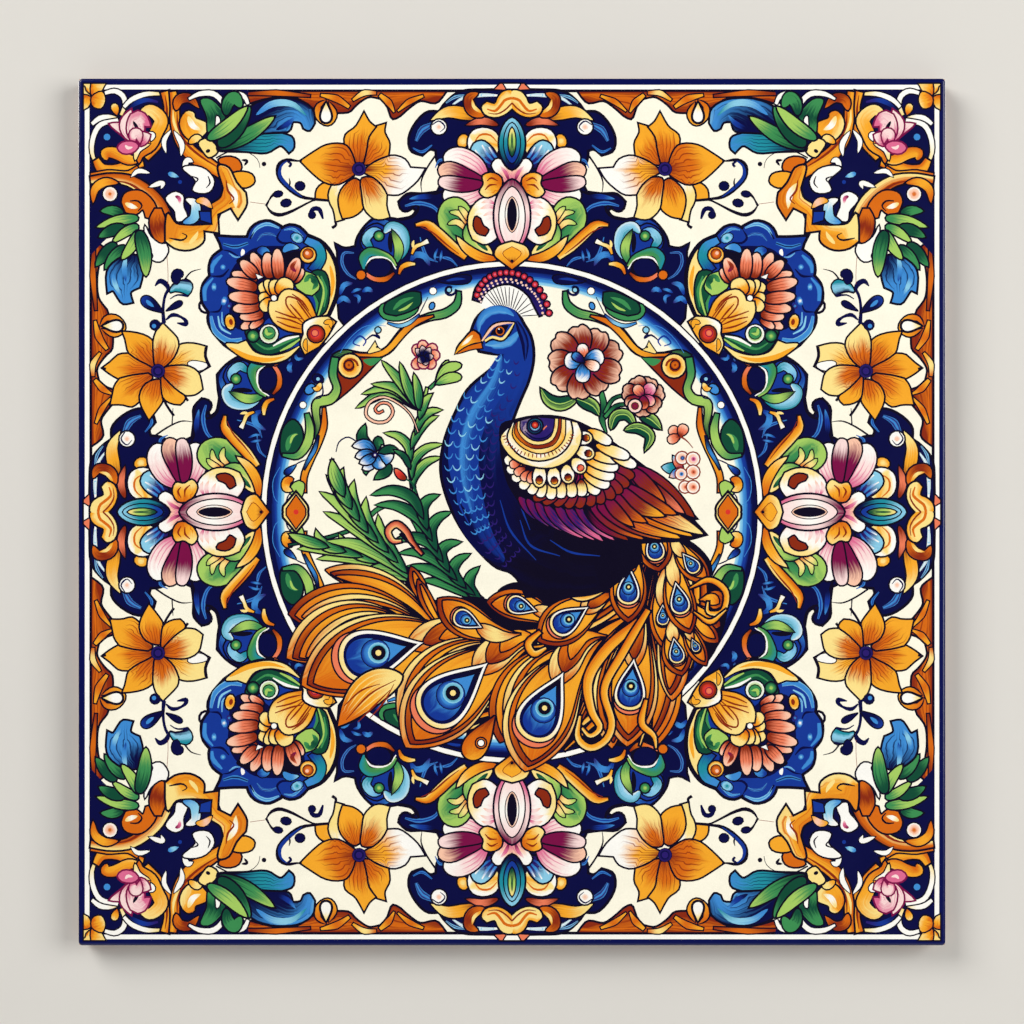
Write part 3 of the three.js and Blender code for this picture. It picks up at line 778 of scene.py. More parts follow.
def paint_head(art):
    """The peacock's head: sky blue crown, banded eye, beak and a fan crest tipped with beads."""
    art.copies = ONCE
    art.paint(field([-35+213j, -32+225j, -25+232j, -14+237j, -1+237j, 11+232j, 22+225j, 30+213j, 34+197j],
        [23+197j, 11+194j], [3+202j, -14+207j, -25+203j, -30+205j]), "cream", line=0)
    for index in range(15):
        along = index / 14
        start = (-16+205j) * (1 - along) ** 2 + 2 * (-3+210j) * along * (1 - along) + (10+196j) * along**2
        end = on_cubic(-27+216j, -19+231j, 12+231j, 27+197j, along)
        art.line([start, 0.5 * (start + end), end], (0.45, 0.5, 0.35))
    art.band([-35+212j, -32+221j, -25+228j, -14+233j, -1+234j, 11+229j, 22+219j, 28+206j, 31+198j],
        (3.4, 4.6, 5.2, 5.4, 5.4, 5.4, 5.2, 5, 3.4), "violet navy violet", line=1.3)
    for index in range(17):
        along = index / 16
        inner = on_cubic(-33+213j, -25+242j, 22+241j, 30+199j, along)
        outer = on_cubic(-35+217j, -28+250j, 28+249j, 37+199j, along)
        art.dot(outer, 2.9, "rose red wine", shade=(0, 1, 0), line=0.8)
        art.dot(inner + 0.6, 1.3, "shell blush rose", line=0)
        art.dot(0.45 * inner + 0.55 * (inner - 5j) + 2, 1, "blush", line=0)
    art.paint(field([-39+181j, -47+173j, -53+166j, -57+158j], [-49+164j, -39+169j, -31+170j], [-33+177j],
        spine=[-34+173j, -55+160j]), "orange amber amber", shade=(1, 0, 0.3), line=1.2)
    art.paint(field([-55+158j, -45+165j, -31+169j], [-30+164j], [-40+163j, -50+160j]), "orange", line=0.8)
    art.leaf([-39+177j, -45+171j, -51+166j], 1.8, "butter cream butter", line=0)
    art.leaf([-33+180j, -30+190j, -22+198j, -10+200j, 2+196j], 7, "cobalt azure sky", ends=(0.6, 0.6),
        shade=(0, -1.1, 1.4), line=0)
    art.leaf([-27+167j, -14+165j, 0+169j, 8+181j], 7.4, "cobalt azure sky", ends=(0.5, 0.6), line=0,
        shade=(0, -1, 1.5))
    art.line([-30+170j, -26+177j, -18+187j, -6+190j, 3+190j], (1.2, 2.3, 1.9, 0.9))
    art.line([-27+170j, -20+174j, -10+172j, -2+180j, 3+190j], (2, 2.2, 1.9, 0.9))
    art.line([-30+171j, -25+178j, -18+186j, -6+189j, 2+189j], (0.8, 1.3, 1.2, 0.4), "shell")
    art.line([-27+171j, -20+175j, -10+173j, -3+181j, 2+189j], (1, 1.3, 1.2, 0.4), "butter")
    art.ink(field([-22+177j, -17+184j, -9+187j, -3+187j], [-7+180j, -12+176j, -18+177j]), "ink")
    art.dot(-12+181j, 4.4, "ink rust orange", shade=(0, 1, 0), line=0.8)
    art.dot(-12+181j, 3.2, "ink", line=0)
    art.dot(-13+183j, 0.8, "cream", line=0)
    art.leaf([4+192j, 9+181j, 13+169j, 13+150j], 4, COBALT, shade=(0, -1, 1), line=0)


def paint_wing(art):
    """The peacock's wing: ringed shield, cream scales, wine and magenta feathers and long orange quills."""
    art.copies = ONCE
    art.paint(field([-9+86j, 2+90j, 20+94j, 44+94j, 64+89j, 84+79j, 99+69j, 121+52j, 144+34j, 164+14j,
        184-6j], [179-6j, 192-22j], [172-27j, 149-28j, 109-30j, 84-29j, 59-24j, 41-14j, 23-4j, 10+9j],
        [-2+29j, -8+52j, -10+72j]), "ink", line=1.6)
    for root, bend, tip, width in (
        (7+15j, 21-1j, 41-13j, 4.4), (15+13j, 28-4j, 52-19j, 4.4), (24+10j, 36-6j, 62-23j, 4.4),
        (33+7j, 46-9j, 71-26j, 4.6), (44+6j, 57-9j, 82-28j, 4.6), (54+6j, 66-9j, 91-29j, 4.6),
        (64+6j, 79-11j, 102-28j, 4.6),
    ):
        art.leaf([root, bend, tip], width, "wine violet rose", ends=(0.5, 0.8), shade=(1.1, 0, 0.3),
            line=0.9, veins=3, reach=0.9)
    for root, bend, tip, width, tones in (
        (73+6j, 89-11j, 116-28j, 5.6, "ink wine rust"), (79+7j, 101-11j, 131-27j, 6, "wine rust orange"),
        (121+44j, 149+24j, 182-5j, 9, "wine rust rust"), (119+37j, 144+19j, 172-1j, 7.6, "wine rust coral"),
        (119+43j, 138+24j, 153+9j, 6.4, "wine rust orange"),
        (86+7j, 116-11j, 149-27j, 7, "wine rust orange"), (94+10j, 124-9j, 168-26j, 8, "wine orange amber"),
        (101+14j, 134-1j, 180-24j, 8.4, FLAME), (106+19j, 144+1j, 191-22j, 8.6, "wine orange butter"),
        (111+26j, 134+11j, 164-2j, 7.6, "wine rust orange"), (106+24j, 126+6j, 152-4j, 7, "wine rust amber"),
        (101+19j, 114+1j, 134-10j, 6, "wine rust orange"),
        (94+14j, 106-1j, 121-14j, 5.4, "wine rust orange"),
    ):
        art.leaf([root, bend, tip], width, tones, ends=(0.5, 0.8), shade=(1.1, 0, 0), line=1.1, veins=5,
            reach=0.9)
    for tip in (122+36j, 117+27j, 110+20j, 102+14j, 91+9j, 80+6j, 68+4j, 56+4j, 44+6j, 32+8j, 22+12j):
        art.leaf([66+47j, 0.45 * (66+47j) + 0.55 * tip, tip], 6.6, "wine wine rust", ends=(0.9, 0.45), line=1)
    for root, tip, width in (
        (69+26j, 76+17j, 5), (71+32j, 87+19j, 5.4), (72+38j, 97+26j, 5.8), (73+44j, 102+35j, 5.8),
        (74+52j, 106+44j, 5.8), (79+57j, 109+53j, 5.6), (99+57j, 124+46j, 5), (84+67j, 117+55j, 5.4),
        (76+82j, 99+69j, 5),
    ):
        art.leaf([root, 0.5 * (root + tip), tip], width, "amber butter cream", ends=(0.6, 0.4),
            shade=(1.2, 0, 0), line=1.1, veins=2, reach=0.4)
    for root, tip, width in (
        (69+32j, 70+16j, 5), (59+32j, 60+15j, 5), (49+32j, 49+14j, 5), (39+32j, 39+13j, 5),
        (31+34j, 28+15j, 5), (24+37j, 19+18j, 5), (18+42j, 10+23j, 5), (13+47j, 2+31j, 5),
        (11+52j, -4+40j, 5), (10+57j, -7+50j, 5),
    ):
        art.leaf([root, 0.5 * (root + tip), tip], width, "rust butter cream", ends=(0.6, 0.35),
            shade=(1.05, 0, 0), line=1)
    for root, tip in ((8+49j, -2+47j), (13+44j, 3+38j), (18+41j, 10+32j), (21+41j, 18+29j)):
        art.leaf([root, 0.5 * (root + tip), tip], 4, CORAL, ends=(0.6, 0.4), line=0.8)
    for index, (root, tip) in enumerate((
        (28+47j, 27+25j), (41+45j, 43+25j), (54+47j, 57+29j), (61+53j, 72+40j), (64+62j, 82+57j),
        (61+74j, 80+74j),
    )):
        art.leaf([root, 0.5 * (root + tip), tip], 6.4, "butter cream butter", ends=(0.6, 0.5), line=1.1)
        art.leaf([0.5 * (root + tip), 0.3 * root + 0.7 * tip, 0.14 * root + 0.86 * tip], 3.2,
            "ink rust amber" if index != 3 else "red coral red", ends=(0.6, 0.5), line=0.6)
    for below, above, tones, line in (
        ([-11+74j, -4+59j, 8+50j, 26+45j, 41+45j, 56+52j, 66+64j, 69+79j, 65+89j], [44+94j, 20+94j, 2+89j],
            "butter cream butter", 1.2),
        ([-4+74j, 6+59j, 18+53j, 31+52j, 46+57j, 56+67j, 60+79j, 58+91j], [41+94j, 20+94j, 1+89j],
            "cream butter cream", 1.1),
        ([1+77j, 8+67j, 21+60j, 31+59j, 44+64j, 52+74j, 53+92j], [41+94j, 20+94j, 3+89j], GOLD, 0.8),
        ([3+79j, 10+70j, 21+64j, 31+64j, 42+68j, 48+79j, 49+93j], [41+94j, 20+94j, 4+89j],
            "rust orange rust", 0.6),
        ([6+82j, 12+73j, 21+68j, 31+68j, 40+72j, 45+82j, 46+93j], [33+94j, 20+94j, 6+90j],
            "blush orange butter", 0.6),
        ([9+83j, 15+76j, 22+72j, 31+72j, 38+76j, 41+84j, 42+93j], [33+94j, 20+94j, 9+91j],
            "violet blush violet", 0.8),
    ):
        art.paint(field(below, above, spine=[-4+82j, 28+49j, 64+82j]), tones, shade=(0, 0, 1), line=line)
    for centre, reach, tone in ((26+91j, 14, "violet"), (26+91j, 10, "coral"), (27+90j, 17, "navy")):
        art.line([centre + reach * np.exp(1j * angle) for angle in (-2.6, -1.9, -1.2, -0.5)], (0.5, 1, 0.5),
            tone)
    for index in range(24):
        ray = np.exp(1j * (-2.9 + index * 2.7 / 23))
        start = (26+82j) + ray.real * 33 + 24j * ray.imag
        art.line([start, start + 1.8 * ray, start + 4 * ray], (0.6, 0.6, 0.3), "rust")
    art.dot(23+86j, 7.6, "violet teal navy", shade=(0, 1, 0), line=0.8)
    art.dot(23+86j, 5.4, "cream sky violet", shade=(0, 1, 0), line=0.6)
    art.dot(23+87j, 3.2, BEAD[::-1], shade=(0, 1, 0), line=0.6)


def paint_ring_pattern(art):
    """The vines, leaves, drops and jewels just inside the medallion's ring, the same in each quarter."""
    art.copies = FOUR_MIRRORED
    art.paint(field([-73+231j, -61+234j, -48+237j, -41+235j, -43+230j, -53+228j, -65+229j]), "navy",
        line=0.8)
    art.leaf([-66+231j, -56+233j, -46+233j], 1.4, "cobalt", line=0)
    art.dot(-79+221j, 4.4, "ink", line=0)
    art.dot(-79+221j, 3.5, "cream", line=0)
    art.line(coil(-62+222j, -56+223j, -0.9, 0.5), (1, 1.5, 1.2), "navy")
    art.dot(-63+222j, 2, "sky azure cobalt", line=0.8)
    art.line([-55+219j, -52+215j, -52+220j], (0.7, 1, 0.5), "navy")
    art.line([-93+197j, -87+209j, -84+215j], (0.5, 0.6, 0.4), "navy")
    art.paint(disc(-80+206j, 2.2, 1.5, 70), "azure violet cobalt", line=0.8)
    art.band([-53+220j, -55+208j, -66+199j, -83+195j, -103+186j, -114+174j, -124+162j, -136+157j, -152+156j,
        -169+158j, -177+154j], (1.4, 3.4, 3.6, 3, 3, 3, 2.8, 2.6, 2.4, 3.4, 3.4),
        "green light_green dark_green", line=1.1)
    art.band([-79+196j, -96+190j, -109+179j, -120+166j, -129+159j, -146+156j, -159+158j],
        (0.5, 2.4, 2.8, 2.6, 2.4, 2.2, 1), "orange amber orange", line=1)
    art.paint(field([-172+149j, -174+113j], [-159+126j, -146+139j, -131+154j], [-152+154j], [-162+146j]),
        "rust wine rust", line=1.1)
    art.paint(field([-149+152j, -141+146j, -130+154j], [-139+154j]), "green light_green green", line=0)
    art.dot(-162+146j, 11.5, GOLD, shade=(0, 1, 0), line=1.2)
    art.line(coil(-162+146j, -154+146j, 1.3, 0.25), (1, 1.5, 1.1), "rust")
    art.dot(-163+147j, 4.2, "rust orange rust", shade=(0, 1, 0), line=0.7)
    art.paint(field([-129+208j, -133+202j, -128+194j, -111+192j, -96+200j, -92+212j],
        [-103+202j, -116+198j]), "green light_green green", line=0.9)
    art.paint(field([-127+200j, -126+208j, -114+215j, -101+220j, -92+219j], [-92+208j, -103+201j,
        -116+197j]), "dark_green", line=1)
    art.leaf([-119+202j, -111+210j, -98+215j], 2.2, "green", line=0)
    art.leaf([-114+201j, -106+204j, -99+210j], 1.3, "light_green", line=0)
    art.band([-124+189j, -113+186j, -103+189j, -93+197j], (0.6, 1.6, 1.6, 0.6), "azure sky cobalt", line=0.6)
    art.line([-152+166j, -159+169j, -152+176j, -146+171j, -149+166j], (0.5, 1.1, 0.6), "cobalt")
    art.line([-146+172j, -139+177j, -132+174j, -136+179j, -131+182j], (0.6, 1.3, 0.7), "navy")
    art.dot(-134+182j, 2.6, "sky azure navy", line=0.8)
    art.paint(field([-144+159j, -141+164j, -137+170j], [-134+164j, -131+162j]), "butter amber light_green",
        line=0.7)
    art.dot(-135+165j, 1.2, "ink", line=0)
    art.line([-126+186j, -146+186j, -162+174j, -172+159j], (0.25, 0.35, 0.25), "azure")
    art.band([-177+154j, -179+137j, -175+123j, -181+113j, -195+109j, -196+98j, -194+86j, -196+74j],
        (3, 3.4, 2.8, 4, 4.4, 3, 2.2, 1), "green light_green dark_green", line=1.1)
    art.band([-188+104j, -188+86j, -194+68j, -202+51j, -208+35j, -208+20j], (1, 2.6, 2.6, 2.6, 2.6, 2),
        "orange amber orange", line=1)
    art.band([-194+76j, -197+63j, -204+51j, -208+43j], (0.8, 1.5, 1.5, 0.8), "navy azure navy", line=0.7)
    art.paint(field([-208+28j, -212+13j, -215+13j], [-222+20j, -219+28j, -213+31j]),
        "light_green green butter", line=0.9)
    art.paint(field([-229+56j, -231+73j, -227+86j, -219+92j, -211+84j, -210+69j, -217+58j]), "dark_green",
        line=1.1)
    art.leaf([-225+61j, -222+73j, -215+79j], 3, "green", line=0)
    art.leaf([-222+68j, -219+76j, -214+78j], 1.3, "light_green", line=0)
    art.band([-229+57j, -215+56j, -205+68j, -202+83j, -205+98j], (1, 3, 4, 3.6, 1.8),
        "green light_green green", line=1)
    art.paint(disc(-194+133j, 4.4, 1.3, -30), "navy", line=0.7)
    art.dot(-194+133j, 1.8, "sky", line=0)
    art.paint(disc(-202+123j, 4, 1.4, 45), "azure teal sky", line=1)
    art.leaf([-191+129j, -195+123j, -199+124j], 2.6, "butter amber butter", line=0.7)
    art.line([-190+129j, -189+119j, -192+114j, -197+113j], (0.5, 0.9, 0.4), "navy")
    art.dot(-209+107j, 4.2, "ink", line=0)
    art.dot(-209+107j, 3.3, "cream", line=0)
    art.line([-210+111j, -219+103j, -224+93j], (0.3, 0.4, 0.3), "navy")
    art.paint(drop(-216+47j, -227+38j, 3), COBALT[::-1], line=0.8)
    art.line([-219+46j, -212+50j, -204+53j], (0.4, 0.8, 0.4), "navy")
    art.line([-232+45j, -239+31j, -237+13j, -229+6j], (0.25, 0.4, 0.25), "azure")
    art.leaf([-219+33j, -225+31j, -226+24j, -220+21j], 4, GOLD, line=0.9)
    art.line([-219+21j, -224+16j, -227+5j], (0.4, 0.8, 0.3), "navy")
    art.paint(field([-216+19j], [-205+5j, -205], [-216-15j], [-228, -228+5j]), "butter cream butter",
        line=1.4)
    art.paint(field([-216+16j], [-207+3j, -207], [-216-12j], [-225, -225+3j]), "orange coral red",
        shade=(0, 0.8, 0.3), line=0.9)
    art.dot(-216, 2.6, "red", line=0)
    art.copies = FOUR_TURNS
    art.paint(field([270j, -14+265j, -17+257j, -9+250j, 243j], [9+250j, 17+257j, 14+265j, 270j],
        spine=[270j, 243j]), GOLD[::-1], line=1.2)
    art.paint(field([265j, -9+259j, 249j], [9+259j, 265j], spine=[265j, 249j]), "amber amber rust", line=0.4,
        tone="rust")
    art.dot(251j, 1.6, "ink", line=0)


def paint_plants(art):
    """The green plants, with a violet bell, a rosy bud and a curled tip, on the medallion's left."""
    art.copies = ONCE
    dark = "dark_green dark_green green"
    light = "green light_green light_green"
    art.band([-223-33j, -179-24j, -149-12j, -137+1j, -119+8j, -102-3j, -87-30j, -60-63j],
        (0.6, 1, 1.2, 1.4, 1.6, 1.8, 2, 2), "dark_green green dark_green", line=0.8)
    paint_frond(art, [-97-70j, -125-54j, -155-43j, -188-34j, -222-25j], [-161-61j, -146-30j, -195-47j,
        -173-22j, -214-37j, -196-18j, -223-22j], 5, LEAF, 2.2)
    paint_frond(art, [-97-70j, -122-42j, -146-18j, -164+9j, -176+32j, -180+52j], [-149-60j, -185-29j,
        -134-3j, -188, -146+14j, -192+20j, -158+31j, -185+36j, -169+43j, -180+52j], 6.2, LEAF, 3)
    paint_frond(art, [-31-88j, -60-63j, -78-33j, -90-3j, -99+26j], [-90-68j, -33-55j, -105-54j, -42-42j,
        -113-41j, -51-30j, -119-30j, -61, -137+7j, -73+17j, -141+17j], 5, dark, 2.6)
    paint_frond(art, [-99+25j, -102+56j, -96+80j, -90+103j, -85+124j], [-71+55j, -69+68j, -128+79j, -74+96j,
        -70+102j, -80+118j], 3.8, LEAF, 2)
    for middle, tip, width in (
        (-122+120j, -156+104j, 4.6), (-122+124j, -150+118j, 4), (-116+124j, -140+128j, 4),
        (-109+127j, -130+151j, 4.6), (-104+124j, -112+149j, 4.2), (-94+121j, -98+138j, 3.8),
    ):
        art.leaf([-93+103j, middle, tip], width, LEAF, shade=(0.8, 0, 0.5), line=1, veins=4, reach=0.8)
    art.band([-82+124j, -73+133j, -69+140j], (1.2, 1, 0.8), "green", line=0.8)
    for middle, tip, width in (
        (-70+140j, -64+151j, 3.4), (-65+143j, -51+147j, 4.6), (-63+134j, -51+135j, 4.6),
    ):
        art.leaf([-76+128j, middle, tip], width, light, ends=(0.8, 0.5), shade=(0.9, 0, 0.3), line=1, veins=3)
    art.band([-94+80j, -101+97j, -114+109j, -129+115j, -143+109j, -146+97j, -137+90j, -125+91j, -119+100j,
        -123+108j, -131+109j, -137+103j, -134+99j, -129+101j], (0.3, 0.5, 0.8, 1, 1, 0.9, 0.7),
        "shell shell coral", line=0.7)
    art.line([-176+60j, -173+70j, -164+75j, -155+70j], (0.5, 0.8, 0.7), "navy")
    for base, middle, tip, width in (
        (-140+62j, -150+74j, -147+87j, 5), (-135+62j, -134+72j, -129+68j, 3.4),
        (-133+58j, -122+63j, -113+60j, 3.6), (-134+49j, -125+43j, -137+33j, 5),
        (-141+48j, -146+42j, -146+38j, 3), (-102+44j, -108+56j, -118+62j, 2.4),
    ):
        art.leaf([base, middle, tip], width, dark, line=1, veins=3)
    for middle, tip, width in (
        (-146+67j, -159+66j, 5), (-149+57j, -156+55j, 5), (-143+46j, -149+43j, 4.6),
        (-128+52j, -119+57j, 4.6), (-134+48j, -127+46j, 4.6), (-142+53j, -152+49j, 4.4),
    ):
        art.leaf([-137+57j, middle, tip], width, "navy azure cream", ends=(0.6, 0.7), shade=(0.9, 0, 0.2),
            line=1, veins=3)
    art.dot(-137+57j, 2.6, "cream violet navy", shade=(0, 1, 0), line=0.6)
    art.leaf([-106+33j, -111+36j, -117+43j], 3.2, BEAD, ends=(0.6, 0.7), line=0.9)
    art.line([-106+33j, -100+29j, -96+20j], (0.8, 1, 1), "dark_green")
    art.band([-90-42j, -100-30j, -106-19j, -116-12j, -124-19j, -119-29j, -111-29j], (1, 1.8, 2.4, 2.8, 2.8,
        2.4, 1), "rust coral butter", shade=(0.4, 0, 0.6), line=1.1)
    art.line([-112-21j, -107-27j, -97-36j], (1.8, 1.4, 0.6))
    heart = -87+154j
    for tip, width in (
        (-99+145j, 5), (-98+166j, 5), (-90+171j, 5), (-77+167j, 5), (-73+158j, 5), (-78+145j, 5),
        (-90+144j, 5),
    ):
        art.leaf([heart, 0.5 * (heart + tip), tip], width, CORAL, ends=(0.6, 0.45), line=1, tone="wine")
    for tip in (-96+163j, -90+166j, -82+164j, -79+156j, -86+147j, -94+151j):
        art.leaf([heart, 0.5 * (heart + tip), tip], 3.4, "navy navy blush", ends=(0.6, 0.7), line=0.7)


def paint_bloom(art, centre, radius, count, tones, turn):
    """A round flower of broad petals with wavy rims about its centre."""
    for index in range(count):
        ray = np.exp(1j * (turn + index * math.tau / count))
        side = 0.72j * radius * math.tan(math.pi / count) * 1.16
        reach = radius * (1 + 0.05 * math.cos(2.3 * index))
        art.paint(field([centre + ray * (0.6 * reach + side), centre + ray * (0.86 * reach + 0.9 * side),
            centre + ray * (0.97 * reach + 0.4 * side), centre + ray * 0.94 * reach,
            centre + ray * (1 * reach - 0.4 * side), centre + ray * (0.86 * reach - 0.9 * side),
            centre + ray * (0.6 * reach - side), centre + ray * 0.1 * reach],
            spine=[centre, centre + ray * reach]), tones, shade=(0.95, 0, 0), line=1.1, veins=7, reach=0.75)


def paint_blooms(art):
    """The coral flower, its small neighbours and their leaves on the medallion's right."""
    art.copies = ONCE
    for points, widths in (
        ([88+124j, 92+106j, 90+93j, 94+80j], (1.6, 2.4, 2.6, 0.4)),
        ([93+99j, 101+113j, 117+118j], (1.4, 1.2, 1)), ([93+95j, 104+106j, 119+108j], (1.4, 1.4, 1)),
    ):
        art.band(points, widths, "green dark_green green", line=0.8)
    for points, width in (
        ([65+114j, 48+108j, 37+112j, 29+123j], 6.2), ([65+113j, 73+110j, 82+105j, 87+97j], 6),
        ([99+83j, 104+96j, 115+97j, 124+84j], 5), ([128+96j, 138+93j, 149+83j], 5.4),
        ([113+82j, 126+84j, 138+76j, 133+61j], 5),
    ):
        art.leaf(points, width, "dark_green dark_green light_green", shade=(0, 0, 1), line=1.1, veins=3)
        art.line(points, (0.3, 0.6, 0.3), "light_green")
    heart = 72+150j
    paint_bloom(art, heart, 37, 9, "wine rust shell", 0.35)
    art.dot(heart, 15, "ink wine wine", shade=(0, 1, 0), line=0)
    for tip, width, tones in (
        (70+168j, 5.4, "rust coral cream"), (53+152j, 8, "navy azure cream"),
        (91+157j, 8, "navy azure cream"), (70+130j, 7, "navy azure cream"), (87+144j, 5, "rust shell cream"),
        (61+158j, 4, "navy violet azure"),
    ):
        art.leaf([heart, 0.5 * (heart + tip), tip], width, tones, ends=(0.8, 0.45), shade=(1.1, 0, 0),
            line=0.9, veins=3)
    centre = 131+116j
    paint_bloom(art, centre, 20, 7, "wine rust shell", 0.2)
    for tip, width, tones in (
        (142+127j, 6, ROSE), (123+126j, 5, "wine coral shell"), (142+108j, 5, "wine rose shell"),
        (132+103j, 5, "wine rust coral"),
    ):
        art.leaf([centre, 0.5 * (centre + tip), tip], width, tones, ends=(0.7, 0.5), line=0.8, veins=3)
    art.dot(123+106j, 6.4, "wine shell blush", shade=(0, 1, 0), line=1)
    art.dot(123+106j, 3.2, "rust wine rust", shade=(0, 1, 0), line=0.5)
    for tip, width in ((158+84j, 5), (156+71j, 4.4), (173+87j, 5)):
        art.leaf([168+76j, 0.5 * ((168+76j) + tip), tip], width, CORAL, ends=(0.7, 0.45), shade=(1.1, 0, 0),
            line=0.8)
    art.line([168+76j, 175+71j, 181+64j], (1.2, 0.6, 0.4), "rust")
    for tip, width, tones in (
        (150+45j, 5.6, "navy teal sky"), (161+56j, 3.6, "wine coral sky"), (158+35j, 4, "navy azure shell"),
    ):
        art.leaf([170+42j, 0.5 * ((170+42j) + tip), tip], width, tones, line=0.8)
    for centre, radius, tones in (
        (170+54j, 6, "azure violet shell"), (181+53j, 6.4, ROSE), (181+40j, 6.4, CORAL),
        (169+38j, 5.4, "navy azure shell"), (173+25j, 5.6, CORAL), (181+25j, 6, CORAL),
    ):
        art.dot(centre, radius, "coral shell cream", shade=(0, 1, 0), line=0.8, tone="rust")
        art.dot(centre + 0.6, radius * 0.5, tones, shade=(0, 1, 0), line=0)


